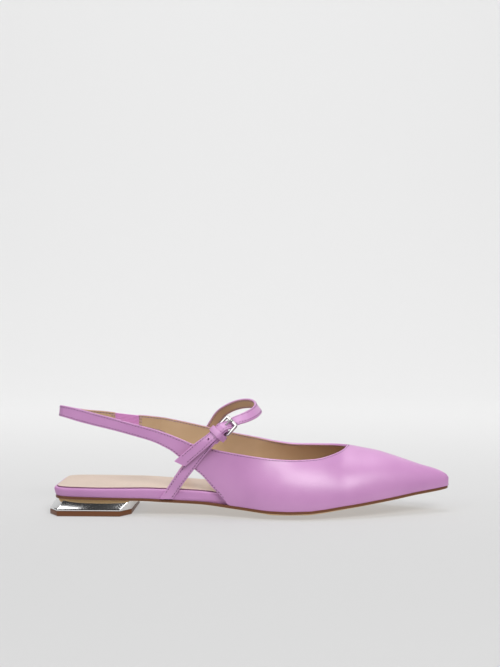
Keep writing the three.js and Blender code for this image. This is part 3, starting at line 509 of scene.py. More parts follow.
LILAC = Finish(
    "lilac_calf", (0.60, 0.29, 0.56), (0.555, 0.26, 0.52), 0.38, grain=0.55, relief=0.03, coat=0.3,
)
RIM = Finish(
    "lilac_rim", (0.57, 0.27, 0.535), (0.52, 0.24, 0.49), 0.46, grain=0.55, relief=0.03, coat=0.05,
)
LINING = Finish(
    "tan_lining", (0.60, 0.415, 0.25), (0.54, 0.365, 0.21), 0.62, grain=0.8, relief=0.03,
)
SOCK = Finish(
    "beige_sock", (0.64, 0.49, 0.385), (0.59, 0.445, 0.345), 0.42,
    grain=0.7, relief=0.03, mottle=45, coat=0.25,
)
SOCK_EDGE = Finish(
    "sock_edge", (0.20, 0.085, 0.15), (0.16, 0.065, 0.12), 0.7, grain=0.5, relief=0.02,
)
THREAD = Finish(
    "lilac_thread", (0.72, 0.43, 0.68), (0.66, 0.38, 0.62), 0.6, grain=0.3, relief=0.04,
)
# Painted shade: the shadow inside each needle hole, laid on the leather as a dark oval.
HOLE_SHADE = Finish(
    "needle_hole_shade", (0.10, 0.02, 0.08), (0.07, 0.015, 0.06), 0.8, grain=0.3, relief=0.02,
)
ELASTIC = Finish(
    "lilac_elastic", (0.72, 0.30, 0.65), (0.64, 0.25, 0.58), 0.8,
    grain=0.25, relief=0.06, sheen=0.4,
)
SOLE_EDGE = Finish(
    "brown_edge", (0.165, 0.055, 0.015), (0.115, 0.036, 0.01), 0.4,
    grain=0.6, relief=0.03, coat=0.1, stretch=(4.0, 4.0, 1.0),
)
SOLE_UNDER = Finish(
    "tan_underside", (0.72, 0.47, 0.22), (0.64, 0.41, 0.18), 0.5, grain=0.7, relief=0.02,
)
MIRROR = Finish(
    "heel_mirror", (0.90, 0.89, 0.88), (0.88, 0.875, 0.87), 0.02,
    metallic=1.0, grain=40.0, relief=0.0001,
)
SILVER = Finish(
    "buckle_silver", (0.42, 0.41, 0.40), (0.37, 0.365, 0.36), 0.07,
    metallic=1.0, grain=2.0, relief=0.004,
)


def grid(
    lines: Sequence[Line], wrap: bool = False, finish_of: Pick | None = None
) -> bmesh.types.BMesh:
    """Grid of faces laid over lines of points.

    Args:
        lines: lines of equal count.
        wrap: whether each line's last point meets its first.
        finish_of: number of the finish of the face after point k of line i, given i and k.

    Returns:
        The mesh, in millimetres.
    """
    bm = bmesh.new()
    count = len(lines[0])
    columns, rows = len(lines) - 1, count if wrap else count - 1
    made = bmesh.ops.create_grid(bm, x_segments=columns, y_segments=rows, size=1.0)
    place = {
        v: (round((v.co.x + 1) / 2 * columns), round((v.co.y + 1) / 2 * rows))
        for v in made["verts"]
    }
    if finish_of is not None:
        for face in bm.faces:
            i = min(place[v][0] for v in face.verts)
            k = min(place[v][1] for v in face.verts)
            face.material_index = finish_of(i, k)
    for v, (i, k) in place.items():
        v.co = lines[i][k % count]
    if wrap:
        bmesh.ops.remove_doubles(bm, verts=bm.verts, dist=MERGE * 0.1)
    return bm


def tube(rings: Sequence[Line], finish_of: Pick | None = None) -> bmesh.types.BMesh:
    """Solid over rings, with its ends filled.

    Args:
        rings: rings of equal count.
        finish_of: number of the finish of the face after point k of ring i.

    Returns:
        The closed mesh, its faces outward.
    """
    bm = grid(rings, wrap=True, finish_of=finish_of)
    bmesh.ops.holes_fill(bm, edges=[edge for edge in bm.edges if edge.is_boundary], sides=0)
    bmesh.ops.recalc_face_normals(bm, faces=bm.faces)
    return bm


def round_off(
    bm: bmesh.types.BMesh, edges: Sequence[bmesh.types.BMEdge], by: float, clamp: bool
) -> None:
    """Rounds edges of a mesh.

    Args:
        bm: the mesh in millimetres.
        edges: its edges to round.
        by: how far the rounding reaches on both faces.
        clamp: whether it is held back where faces are crowded.
    """
    bmesh.ops.bevel(
        bm, geom=edges, offset=by, offset_type="OFFSET", segments=3, profile=0.5, affect="EDGES",
        material=-1, clamp_overlap=clamp,
    )


def settle(
    bm: bmesh.types.BMesh,
    name: str,
    finishes: Sequence[Finish],
    slot: Slot,
    replaces: Sequence[str] = (),
    sharp: float = 38.0,
    outward: bool = False,
) -> bpy.types.Object:
    """Makes a closed mesh the object of a piece that rides on the shoe.

    Args:
        bm: the mesh in millimetres, freed here.
        name: name of the piece.
        finishes: finishes by number.
        slot: not used.
        replaces: CAD nodes that the piece stands for.
        sharp: angle in degrees from which an edge shows.
        outward: whether the faces look outward already.

    Returns:
        The object.
    """
    bmesh.ops.remove_doubles(bm, verts=bm.verts, dist=MERGE)
    bmesh.ops.dissolve_degenerate(bm, dist=MERGE * 0.2, edges=bm.edges)
    if not outward:
        bmesh.ops.recalc_face_normals(bm, faces=bm.faces)
        if bm.calc_volume(signed=True) < 0:
            bmesh.ops.reverse_faces(bm, faces=bm.faces)
    limit = math.radians(sharp)
    for face in bm.faces:
        face.smooth = True
    for edge in bm.edges:
        edge.smooth = len(edge.link_faces) != 2 or edge.calc_face_angle(0.0) < limit
    bmesh.ops.scale(bm, vec=(MM, MM, MM), verts=bm.verts)
    mesh = bpy.data.meshes.new(name)
    bm.to_mesh(mesh)
    bm.free()
    piece = bpy.data.objects.new(name, mesh)
    bpy.context.scene.collection.objects.link(piece)
    for finish in finishes:
        mesh.materials.append(finish.material())
    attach(piece, "root")
    if replaces:
        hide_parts(*replaces)
    LOG.info("%s: %d faces", name, len(mesh.polygons))
    return piece


@dataclass
class Seams:
    """Rows of stitches: a thread segment and, after it, a dark oval of painted shade at the needle
    hole, again and again.
    """

    name: str
    thread: Finish
    slot: Slot
    pitch: float = 2.15
    length: float = 1.15
    width: float = 0.45
    height: float = 0.2
    # Size, depth and place of the dark oval of painted shade at each needle hole.
    hole: float = 0.84
    hole_height: float = 0.16
    thread_at: float = 0.38
    hole_at: float = 0.88

    def __post_init__(self) -> None:
        """Starts with no stitches."""
        self.beads: list[Matrix] = []

    def sew(self, points: Sequence[Vector], normals: Sequence[Vector]) -> None:
        """Sews along a line on a surface.

        Args:
            points: the line's points.
            normals: the surface's normal at each.
        """
        lengths = run_lengths(points)
        count = max(1, round(lengths[-1] / self.pitch))
        thread = Matrix.Diagonal((self.length / 2, self.width / 2, self.height, 1.0))
        needle = Matrix.Diagonal((self.hole / 2, self.hole / 2, self.hole_height, 1.0))
        for n in range(count):
            for share, size in ((self.thread_at, thread), (self.hole_at, needle)):
                i, t = found_at(lengths, (n + share) / count * lengths[-1])
                up = normals[i].lerp(normals[i + 1], t).normalized()
                across = up.cross(points[i + 1] - points[i]).normalized()
                turn = Matrix((across.cross(up), across, up)).transposed().to_4x4()
                place = Matrix.Translation(points[i].lerp(points[i + 1], t))
                self.beads.append(place @ turn @ size)

    def finish(self) -> None:
        """Makes the stitches one piece: ovals doubled until there are enough, each put in place,
        every second one dark with the painted shade of a needle hole.
        """
        bm = bmesh.new()
        bmesh.ops.create_uvsphere(bm, u_segments=6, v_segments=4, radius=1.0)
        ball = [v.co.copy() for v in bm.verts]
        kept = bpy.data.meshes.new("beads")
        while len(bm.verts) < len(ball) * len(self.beads):
            bm.to_mesh(kept)
            bm.from_mesh(kept)
        bpy.data.meshes.remove(kept)
        spare = [v for i, v in enumerate(bm.verts) if i >= len(ball) * len(self.beads)]
        bmesh.ops.delete(bm, geom=spare, context="VERTS")
        for i, v in enumerate(bm.verts):
            v.co = self.beads[i // len(ball)] @ ball[i % len(ball)]
        bm.verts.index_update()
        for face in bm.faces:
            # Every second oval is a needle hole, darkened with painted shade.
            face.material_index = face.verts[0].index // len(ball) % 2
        settle(bm, self.name, (self.thread, HOLE_SHADE), self.slot, sharp=80, outward=True)


@dataclass
class Layer:
    """Step in the side of a slab: how far it is set in, and its share of the height."""

    inset: Inset
    rise: float


def layers(inset: Inset, rows: Sequence[tuple[float, float]]) -> list[Layer]:
    """Steps of a slab's side.

    Args:
        inset: how far the edge is set in at each x.
        rows: what each step adds to it, and the step's share of the height.

    Returns:
        The steps, from the bottom up.
    """
    return [Layer(lambda x, more=more: inset(x) + more, rise) for more, rise in rows]


@dataclass
class Sole:
    """Outsole, top lift and mirror heel block."""

    last: Last
    edge_round: float = 0.45
    heel_length: float = 55.9
    heel_width: float = 57.0
    corner_length: float = 6.5
    corner_width: float = 9.0
    lift_thickness: float = 3.4
    lift_edge: float = 0.4
    lift_round: float = 0.12
    band_height: float = 1.1
    taper: float = 4.4
    band_round: float = 0.45
    breast_rake: float = 6.0

    def outsole(self) -> None:
        """Thin brown outsole with a tan underside."""
        last = self.last
        shares, insets = (0, 0.2, 0.3, 0.9, 1), (0.3, 0.3, 0, 0, 0.6)
        inset = Curve([last.at(share) for share in shares], insets)
        profile = ((1, 0), (0.3, 0.1), (0, 0.3), (0, 0.8), (0.15, 0.93), (0.5, 1))
        side = layers(inset, [(self.edge_round * part, rise) for part, rise in profile])
        bm = slab(last, side, last.underside, last.top, lambda level: 1 if level < 1 else 0)
        settle(bm, "outsole_brown", (SOLE_EDGE, SOLE_UNDER), Slot.SOLE, ("outsole",))

    def _octagon(self, inset: float, front: float, height: Inset) -> Line:
        """Ring of the heel's plan with its cut corners.

        Args:
            inset: how far its back and sides are set in.
            front: how far its front is set in.
            height: height of the ring at each x.

        Returns:
            The ring's eight points.
        """
        x, y = self.heel_length / 2 - inset, self.heel_width / 2 - inset
        fore = self.heel_length / 2 - front
        cx, cy = self.corner_length, self.corner_width
        ring = (
            (fore, -y + cy), (fore, y - cy), (fore - cx, y), (-x + cx, y),
            (-x, y - cy), (-x, -y + cy), (-x + cx, -y), (fore - cx, -y),
        )
        return [Vector((px, py, height(px))) for px, py in ring]

    def top_lift(self) -> None:
        """Brown lift that stands on the floor."""
        edge = self.lift_edge
        bm = tube([
            self._octagon(edge, edge, lambda x: 0.0),
            self._octagon(0, 0, lambda x: edge),
            self._octagon(0, 0, lambda x: self.lift_thickness),
        ])
        round_off(bm, bm.edges[:], self.lift_round, True)
        settle(bm, "top_lift_brown", (SOLE_EDGE,), Slot.SOLE, ("top_lift",), sharp=50)

    def heel_block(self) -> None:
        """Mirror plated block, a narrow upright band under its leaning sides."""
        low = self.lift_thickness + self.last.seam * 0.4
        band = self.lift_thickness + self.last.seam + self.band_height
        seat = lambda x: self.last.middle(x) - 0.05
        bm = tube([
            self._octagon(0, 0, lambda x: low),
            self._octagon(0, 0, lambda x: band),
            self._octagon(self.taper, -self.breast_rake, seat),
        ])
        round_off(bm, bm.edges[:], self.band_round, True)
        settle(bm, "heel_mirror_block", (MIRROR,), Slot.HEEL, ("heel_block",), sharp=50)

    def build(self) -> None:
        """Makes the three pieces."""
        self.outsole()
        self.top_lift()
        self.heel_block()


def slab(
    last: Last,
    side: Sequence[Layer],
    bottom: Face,
    top: Face,
    finish_of: Callable[[int], int],
) -> bmesh.types.BMesh:
    """Slab over the plan, as loops that run in from the middle line, up the side and in again.

    Args:
        last: the last.
        side: the steps of the side, from the bottom up.
        bottom: height of the lower face.
        top: height of the upper face.
        finish_of: finish by level, below 0 on the lower face, past the steps on the upper.

    Returns:
        The closed mesh.
    """
    shares = (0.0, 0.2, 0.4, 0.6, 0.76, 0.88, 0.96)
    start, end, across = last.at(0) + 14, last.toe_tip - 9, 10
    stations = last.stations()
    places = stations + stations[-2::-1] + [stations[0]] * (across - 1)
    spine = [Vector((x, last.swing(x), 0)) for x in [min(max(x, start), end) for x in places]]

    def outline(inset: Inset) -> Line:
        """Outer edge to the tip, inner edge back from it, and across the back.

        Args:
            inset: how far it is set in at each x.

        Returns:
            The closed loop's points.
        """
        outer, inner = last.edges(stations, inset)
        back = [inner[0].lerp(outer[0], k / across) for k in range(1, across)]
        return outer + inner[-2::-1] + back

    def inward(loop: Line, share: float, face: Face) -> Line:
        """Loop drawn towards the middle line, on a face.

        Args:
            loop: the loop.
            share: 1 for the loop itself, 0 for the middle line.
            face: height of the face.

        Returns:
            The drawn loop's points.
        """
        drawn = [middle.lerp(p, share) for middle, p in zip(spine, loop)]
        return [Vector((p.x, p.y, face(p.x, p.y))) for p in drawn]

    loops = [outline(step.inset) for step in side]
    rings = [inward(loops[0], share, bottom) for share in shares]
    for step, loop in zip(side, loops):
        level = lambda x, y: mix(bottom(x, y), top(x, y), step.rise)
        rings.append(inward(loop, 1.0, level))
    rings += [inward(loops[-1], share, top) for share in reversed(shares)]
    count = len(shares)
    return grid(rings, wrap=True, finish_of=lambda i, k: finish_of(i - count))


@dataclass
class Footbed:
    """Insole board wrapped in lilac leather, and the beige sock on it."""

    last: Last
    thickness: float = 6.5
    sock_thickness: float = 1.0
    sock_margin: float = 1.9
    sock_show: float = 0.62
    rim_inset: float = 2.5
    edge_round: float = 0.8
    seat_bevel: float = 1.0

    def __post_init__(self) -> None:
        """Draws the curves of its thickness and inset."""
        rows = (
            (0, 0.84, -0.25), (0.1, 0.87, -0.25), (0.2, 0.93, -0.1), (0.28, 1, 0.1),
            (0.36, 1.02, 0.25), (0.42, 1, 1.02), (0.48, 0.8, 1.08), (0.56, 0.52, 1.1),
            (1, 0.45, 1.25),
        )
        xs = [self.last.at(row[0]) for row in rows]
        self.thick = Curve(xs, [row[1] * self.thickness for row in rows])
        self.inset = Curve(xs, [row[2] * self.rim_inset for row in rows])

    def bevel(self, x: float) -> float:
        """How far the rim leans out from the outsole, under the heel."""
        return self.seat_bevel * (1 - ease(x, 0, self.last.at(0.3)))

    def top(self, x: float, y: float) -> float:
        """Height of the wrapped board's upper face."""
        return self.last.top(x, y) + self.last.seam + self.thick(x)

    def board(self) -> None:
        """The wrapped board, its rim rounded over."""
        profile = (
            (0.5, 1, 0), (0.12, 0.85, 0.1), (0, 0.6, 0.3), (0, 0.2, 0.55), (0, 0, 0.72),
            (0.08, 0, 0.84), (0.3, 0, 0.925), (0.62, 0, 0.975), (1.1, 0, 1),
        )
        side = [
            Layer(lambda x, r=r, b=b: self.inset(x) + self.edge_round * r + self.bevel(x) * b, rise)
            for r, b, rise in profile
        ]
        low = lambda x, y: self.last.top(x, y) + 0.05
        bm = slab(self.last, side, low, self.top, lambda level: 0)
        settle(bm, "footbed_wrapped", (RIM,), Slot.FOOTBED, ("footbed",))

    def sock(self) -> None:
        """The insole sock, its edge turned down a little."""
        inset = lambda x: self.inset(x) + self.sock_margin
        low = lambda x, y: self.top(x, y) + 0.02
        high = lambda x, y: self.top(x, y) + self.last.seam + self.sock_thickness * self.sock_show
        side = layers(inset, ((0, 0), (-0.05, 0.3), (0.05, 0.65), (0.22, 0.88), (0.5, 1)))
        bm = slab(self.last, side, low, high, lambda level: 1 if 0 <= level < 3 else 0)
        settle(bm, "insole_sock_beige", (SOCK, SOCK_EDGE), Slot.INSOLE, ("insole_sock",))

    def build(self) -> None:
        """Makes both pieces."""
        self.board()
        self.sock()


LATERAL_TOP = (
    (0, 0.868, 1.49, 88), (0.054, 0.918, 1.436, 87), (0.113, 0.95, 1.361, 87),
    (0.177, 0.975, 1.278, 87), (0.314, 0.993, 1.171, 84), (0.415, 1, 1.112, 79),
    (0.515, 1, 1.06, 73), (0.616, 0.975, 1.021, 65), (0.715, 0.914, 1, 52),
    (0.816, 0.811, 1.008, 38), (0.867, 0.729, 1.031, 29), (0.919, 0.568, 1.07, 19),
    (0.955, 0.41, 1.102, 12), (0.974, 0.293, 1.129, 8), (0.988, 0.18, 1.153, 5),
    (0.996, 0.075, 1.169, 2),
)
MEDIAL_TOP = (
    (0, 0.868, 1.386, 88), (0.094, 0.939, 1.326, 87), (0.224, 0.982, 1.24, 86),
    (0.368, 1, 1.147, 82), (0.504, 1, 1.075, 74), (0.611, 0.979, 1.016, 64),
    (0.719, 0.875, 0.986, 50), (0.826, 0.72, 0.995, 34), (0.88, 0.605, 1.002, 25),
    (0.93, 0.45, 1.011, 16), (0.96, 0.313, 1.016, 10), (0.981, 0.19, 1.019, 6),
    (0.996, 0.06, 1.022, 2),
)
THROAT_RIDGE = (
    (1, 1), (0.96, 0.993), (0.846, 0.961), (0.705, 0.92), (0.562, 0.854), (0.42, 0.781),
    (0.278, 0.707), (0.137, 0.644), (0.06, 0.594), (0.026, 0.559),
)
NOSE_RIDGE = ((0.009, 1.055), (0, 1))
CREST = (
    (0.606, 0.95), (0.653, 0.7), (0.678, 0.57), (0.703, 0.55), (0.72, 0.54), (0.741, 0.47),
    (0.77, 0.38), (0.83, 0.28), (0.923, 0.14), (1, 0),
)
SIDE_CUT = (
    (0, 0.665), (0.164, 0.612), (0.277, 0.556), (0.508, 0.437), (0.607, 0.383), (0.733, 0.287),
    (0.861, 0.2), (1, 0.098),
)
FULLNESS = (
    (0.24, 0.3, 0.3, 0.02), (0.42, 0.35, 0.35, 0.05), (0.53, 0.42, 0.4, 0.06),
    (0.64, 0.47, 0.38, 0.04), (0.74, 0.5, 0.4, 0.03), (0.85, 0.55, 0.5, 0.03),
    (1, 0.6, 0.62, 0.02),
)
OUTER_SLING = (
    (0.164, -0.771, 0.832, 0.94), (0.328, -0.653, 0.869, 0.93), (0.492, -0.535, 0.908, 0.96),
    (0.657, -0.411, 0.943, 0.99), (0.793, -0.293, 0.974, 1.02),
)
SLING_TURN = (
    (0.903, -1, 0.993, 0.95), (0.963, -0.66, 1, 0.9), (0.99, -0.34, 1.001, 0.88), (1, 0, 1, 0.88),
    (0.99, 0.34, 0.996, 0.88), (0.963, 0.66, 0.988, 0.9), (0.903, 1, 0.972, 0.95),
)
INNER_SLING = (
    (0.769, 0.314, 0.948, 1), (0.602, 0.45, 0.928, 1), (0.434, 0.579, 0.902, 1),
    (0.315, 0.668, 0.885, 1), (0.198, 0.754, 0.873, 1.12), (0.078, 0.83, 0.857, 1.24),
)


def joined(parts: Sequence[bmesh.types.BMesh]) -> bmesh.types.BMesh:
    """One mesh out of several, their shared points merged.

    Args:
        parts: the meshes, all freed but the first.

    Returns:
        The first mesh, with the others in it.
    """
    whole = parts[0]
    for part in parts[1:]:
        kept = bpy.data.meshes.new("part")
        part.to_mesh(kept)
        part.free()
        whole.from_mesh(kept)
        bpy.data.meshes.remove(kept)
    bmesh.ops.remove_doubles(whole, verts=whole.verts, dist=MERGE)
    return whole


def loose(
    bm: bmesh.types.BMesh, name: str, materials: Sequence[bpy.types.Material] = ()
) -> bpy.types.Object:
    """Object for a mesh in the making.

    Args:
        bm: the mesh, freed here.
        name: the object's name.
        materials: its materials by number.

    Returns:
        The object.
    """
    mesh = bpy.data.meshes.new(name)
    bm.to_mesh(mesh)
    bm.free()
    for material in materials:
        mesh.materials.append(material)
    holder = bpy.data.objects.new(name, mesh)
    bpy.context.scene.collection.objects.link(holder)
    return holder


def baked(holder: bpy.types.Object, helpers: Sequence[bpy.types.Object] = ()) -> bmesh.types.BMesh:
    """Mesh of an object with its modifiers applied.

    Args:
        holder: the object, removed here.
        helpers: objects that its modifiers use, removed too.

    Returns:
        The mesh.
    """
    graph = bpy.context.evaluated_depsgraph_get()
    made = bpy.data.meshes.new_from_object(holder.evaluated_get(graph))
    bm = bmesh.new()
    bm.from_mesh(made)
    bpy.data.meshes.remove(made)
    for one in (holder, *helpers):
        mesh = one.data
        bpy.data.objects.remove(one)
        bpy.data.meshes.remove(mesh)
    return bm


def evened(points: Sequence[Vector], step: float) -> Line:
    """Points at even lengths along a line.

    Args:
        points: the line.
        step: about the length between two of the new points.

    Returns:
        The new points, from end to end.
    """
    lengths = run_lengths(points)
    count = max(2, round(lengths[-1] / step))
    made = []
    for k in range(count + 1):
        i, share = found_at(lengths, lengths[-1] * k / count)
        made.append(points[i].lerp(points[i + 1], share))
    return made


def inset_line(points: Sequence[Vector], tree: BVHTree, inset: float) -> tuple[Line, Line]:
    """Line on a sheet at a distance from one of its edges.

    Args:
        points: the edge.
        tree: the sheet's faces.
        inset: the distance.

    Returns:
        The line's points and the sheet's normals there.
    """
    even = evened(points, 1.0)
    tries = []
    for sign in (1, -1):
        places, normals, off = [], [], 0.0
        for i, p in enumerate(even):
            along = even[min(i + 1, len(even) - 1)] - even[max(i - 1, 0)]
            across = tree.find_nearest(p)[1].cross(along).normalized()
            at, up, _, far = tree.find_nearest(p + across * (inset * sign))
            places.append(at)
            normals.append(up)
            off += far
        tries.append((off, places, normals))
    _, places, normals = min(tries, key=lambda one: one[0])
    return places, normals


@dataclass
class Upper:
    """Vamp and quarters with the sling, its lining, its elastic and its stitches."""

    last: Last
    wall: float = 1.7
    throat_setback: float = 70.1
    throat_height: float = 45.1
    crest_shift: float = 7.0
    crest_draw: float = 8.0
    nose_height: float = 22.6
    collar_width: float = 56.0
    collar_height: float = 38.5
    collar_rise: float = 5.6
    sling_height: float = 72.5
    sling_width: float = 8.6
    sling_turn: float = 11.2
    sling_overhang: float = 0.3
    sling_root: float = 72.5
    sling_lean: float = 0.1
    side_cut_start: float = 120.1
    feather_inset: float = 0.5
    feather_gap: float = 0.12
    crown_blend: tuple[float, float] = (0.3, 0.8)
    gore_thickness: float = 1.1
    gore_front: float = 52.1
    gore_length: float = 16.0
    gore_width: float = 7.8
    gore_ribs: int = 8
    gore_relief: float = 0.24
    gore_tuck: float = 0.004
    edge_round: float = 0.35
    plain_nose: float = 20.0
    plain_throat: float = 3.0
    plain_sole: float = 1.2
    stitch_inset: float = 1.15
    tack_rows: tuple[float, float] = (0.004, 0.011)
    tack_run: tuple[float, float, float] = (0.12, 0.5, 0.88)
    turned: float = 60.0
    steps: int = 26

    def __post_init__(self) -> None:
        """Draws the curves of the topline, the ridge, the side cut and the sling."""
        last, throat = self.last, self.last.toe_tip - self.throat_setback
        self.throat_x = throat
        self.root_x = self.sling_root - last.seat_setback
        self.cut_x = self.side_cut_start - last.seat_setback
        rows = [(at, high * self.throat_height) for at, high in THROAT_RIDGE]
        rows += [(at, high * self.nose_height) for at, high in NOSE_RIDGE]
        xs = [last.toe_tip - at * self.throat_setback for at, _ in rows]
        self.ridge = Curve(xs, [high for _, high in rows])
        self.shift = Curve(*zip(*[(last.at(at), shift * self.crest_shift) for at, shift in CREST]))
        low = self.collar_height
        self.topline = {
            Side.OUTER: self._topline(LATERAL_TOP, low, -1),
            Side.INNER: self._topline(MEDIAL_TOP, low + self.collar_rise, 1),
        }
        xs = [mix(self.root_x, self.cut_x, at) for at, _ in SIDE_CUT]
        self.cut = Curve(xs, [high * self.sling_height for _, high in SIDE_CUT])
        xs = [last.at(row[0]) for row in FULLNESS]
        full = [Curve(xs, [row[k] for row in FULLNESS]) for k in (1, 2, 3)]
        self.side_full, self.crown_full, self.flare = full
        self._draw_sling()

    def _topline(
        self, rows: Sequence[tuple[float, ...]], lowest: float, sign: int
    ) -> tuple[Curve, Curve, Curve]:
        """Draws a topline.

        Args:
            rows: the topline's table.
            lowest: its height where the table has 1.
            sign: sign of its side's Y.

        Returns:
            The curves of its y, its z and its turn in degrees.
        """
        crest, reach = self.crest_y(self.throat_x), sign * self.collar_width / 2
        drawn = []
        for at, out, high, turn in rows:
            y = crest * at**self.crest_draw + reach * out
            drawn.append((mix(self.root_x, self.throat_x, at), y, high * lowest, turn))
        drawn.append((self.throat_x, crest, self.throat_height, 0))
        xs = [row[0] for row in drawn]
        return tuple(Curve(xs, [row[k] for row in drawn]) for k in (1, 2, 3))

    def _draw_sling(self) -> None:
        """Path and width of the sling, from the outer quarter round the heel to the inner one."""
        collar, turn = self.collar_width / 2, self.sling_turn / 2
        rows = [(row, collar) for row in OUTER_SLING] + [(row, turn) for row in SLING_TURN]
        rows += [(row, collar) for row in INNER_SLING]
        back = -self.last.seat_setback - self.sling_overhang
        self.sling = Path([
            Vector((mix(self.root_x, back, at), reach * of, high * self.sling_height))
            for (at, reach, high, _), of in rows
        ])
        shares = [i / self.sling.spans for i in range(len(rows))]
        self.sling_wide = Curve(shares, [row[3] * self.sling_width for row, _ in rows])
        self.gore_from = self._sling_at(self.gore_front - self.last.seat_setback - self.gore_length)
        self.gore_to = self._sling_at(self.gore_front - self.last.seat_setback)

    def crest_y(self, x: float) -> float:
        """Y of the crest of the instep."""
        return self.last.swing(x) + self.shift(x)

    def _sling_at(self, x: float) -> float:
        """Share of the sling's path where its inner side reaches an x.

        Args:
            x: place along the shoe.

        Returns:
            The share.
        """
        a, b = 0.5, 1.0
        for _ in range(30):
            half = (a + b) / 2
            a, b = (half, b) if self.sling.point(half).x < x else (a, half)
        return a

    def sling_point(self, t: float, down: float, inset: float = 0.0) -> Vector:
        """Place on the sling.

        Args:
            t: share of its path.
            down: share of its width below its top edge.
            inset: how far in from its outer face.

        Returns:
            The place.
        """
        along = self.sling.tangent(t)
        along = Vector((along.x, along.y, 0)).normalized()
        out = Vector((-along.y, along.x, 0))
        drop = down * self.sling_wide(t)
        lean = out * (self.sling_lean * drop - inset)
        return self.sling.point(t) + lean - Vector((0, 0, drop))

    def sling_row(self, t: float) -> Line:
        """Points across the sling, from its lower edge up."""
        return [self.sling_point(t, 1 - k / self.steps) for k in range(self.steps + 1)]

    def _section(self, foot: Vector, top: Vector, turn: float, x: float) -> tuple[Vector, ...]:
        """Section of the wall as a cubic.

        Args:
            foot: its lower end.
            top: its upper end.
            turn: angle in degrees at which it ends, 0 for level.
            x: its place along the shoe.

        Returns:
            The cubic's control points.
        """
        rise, span, angle = top.z - foot.z, abs(top.y - foot.y), math.radians(turn)
        outward = -1 if foot.y < self.last.swing(x) else 1
        grip = mix(span, rise, math.sin(angle)) * self.crown_full(x)
        low = foot + Vector((0, outward * rise * self.flare(x), rise * self.side_full(x)))
        high = top + Vector((0, outward * math.cos(angle) * grip, -math.sin(angle) * grip))
        return foot, low, high, top

    def _share_at(self, section: Sequence[Vector], z: float) -> float:
        """Share of a section where it first reaches a height.

        Args:
            section: the section's control points.
            z: the height.

        Returns:
            The share.
        """
        a, b = 0.0, 1.0
        for _ in range(24):
            half = (a + b) / 2
            a, b = (half, b) if bezier(section, half).z < z else (a, half)
        return b

    def _samples(self, section: Sequence[Vector], start: float, end: float) -> Line:
        """Points up a section between two of its shares."""
        return [bezier(section, mix(start, end, k / self.steps)) for k in range(self.steps + 1)]

    def _crowned(self, foot: Vector, top: Vector, x: float) -> Line:
        """Lower part, up to the topline, of a whole section over a crown that isn't there.

        Args:
            foot: the section's lower end.
            top: the topline's point.
            x: their place along the shoe.

        Returns:
            The part's points, from the foot up.
        """
        low, high = top.z, top.z + self.sling_height
        crest = self.crest_y(x)
        for _ in range(24):
            crown = (low + high) / 2
            section = self._section(foot, Vector((top.x, crest, crown)), 0, x)
            share = self._share_at(section, top.z)
            within = abs(bezier(section, share).y - crest) < abs(top.y - crest)
            low, high = (crown, high) if within else (low, crown)
        return self._samples(section, 0, share)

    def row(self, side: Side, x: float, foot: Vector) -> Line:
        """Points up the wall at a station, from the feather edge or the side cut.

        Args:
            side: side of the foot.
            x: the station.
            foot: the feather edge's point in plan.

        Returns:
            The points.
        """
        foot = Vector((foot.x, foot.y, self.last.top(foot.x, foot.y) + self.feather_gap))
        if x >= self.throat_x - 1e-3:
            top = Vector((min(x, foot.x + self.feather_inset), self.crest_y(x), self.ridge(x)))
            return self._samples(self._section(foot, top, 0, x), 0, 1)
        y, z, turn = self.topline[side]
        top = Vector((x, y(x), z(x)))
        section = self._section(foot, top, turn(x), x)
        cut = self._share_at(section, self.cut(x)) if x < self.cut_x else 0.0
        plain = self._samples(section, cut, 1)
        low, high = [mix(self.cut_x, self.throat_x, share) for share in self.crown_blend]
        blend = ease(x, low, high)
        if blend == 0:
            return plain
        return [p.lerp(q, blend) for p, q in zip(plain, self._crowned(foot, top, x))]

    def _stations(self) -> list[float]:
        """Places of the rows, crowded at the throat and at the tip.

        Returns:
            The places, from the sling's root to the tip.
        """
        near, tip, past = self.last.at(0.683), self.last.toe_tip, 14.0
        quarter = [mix(self.root_x, near, k / 74) for k in range(75)]
        throat = [mix(near, self.throat_x, share) for share in spread(20, 2.0)][1:]
        after = [self.throat_x + past * (k / 14) ** 2 for k in range(1, 15)]
        vamp = [mix(after[-1], tip - past, k / 34) for k in range(1, 35)]
        toe = [mix(tip - past, tip, share) for share in spread(22, 2.2)][1:]
        return quarter + throat + after + vamp + toe

    def _bridge(self, before: Line, start: Line, end: Line, after: Line) -> list[Line]:
        """Rows between two rows that go on as their neighbours lead.

        Args:
            before: the row before the gap's first.
            start: the row where the gap starts.
            end: the row where it ends.
            after: the row after that.

        Returns:
            The rows in the gap.
        """
        count, rows = 9, []
        for n in range(1, count):
            t = n / count
            t2, t3 = t * t, t * t * t
            row = []
            for a, b, c, d in zip(before, start, end, after):
                reach = (c - b).length
                out, into = (b - a).normalized() * reach, (d - c).normalized() * reach
                point = b * (2 * t3 - 3 * t2 + 1) + out * (t3 - 2 * t2 + t)
                row.append(point + c * (3 * t2 - 2 * t3) + into * (t3 - t2))
            rows.append(row)
        return rows

    def lines(self, side: Side) -> list[Line]:
        """Rows of one side's sheet.

        Args:
            side: side of the foot.

        Returns:
            The rows, from the elastic to the tip.
        """
        xs = self._stations()
        behind = [self.root_x - 20, self.root_x - 10]
        tip = self.last.toe_tip
        inset = lambda x: mix(self.feather_inset, 0.1, ease(x, tip - 40, tip))
        outer, inner = self.last.edges(behind + xs, inset)
        feet = (outer if side is Side.OUTER else inner)[len(behind):]
        wall = [self.row(side, x, foot) for x, foot in zip(xs, feet)]
        start, end = (self.gore_from, 0.0) if side is Side.OUTER else (self.gore_to, 1.0)
        count = math.ceil(abs(end - start) * 180)
        sling = [self.sling_row(mix(start, end, k / count)) for k in range(count + 1)]
        return sling + self._bridge(sling[-2], sling[-1], wall[0], wall[1]) + wall

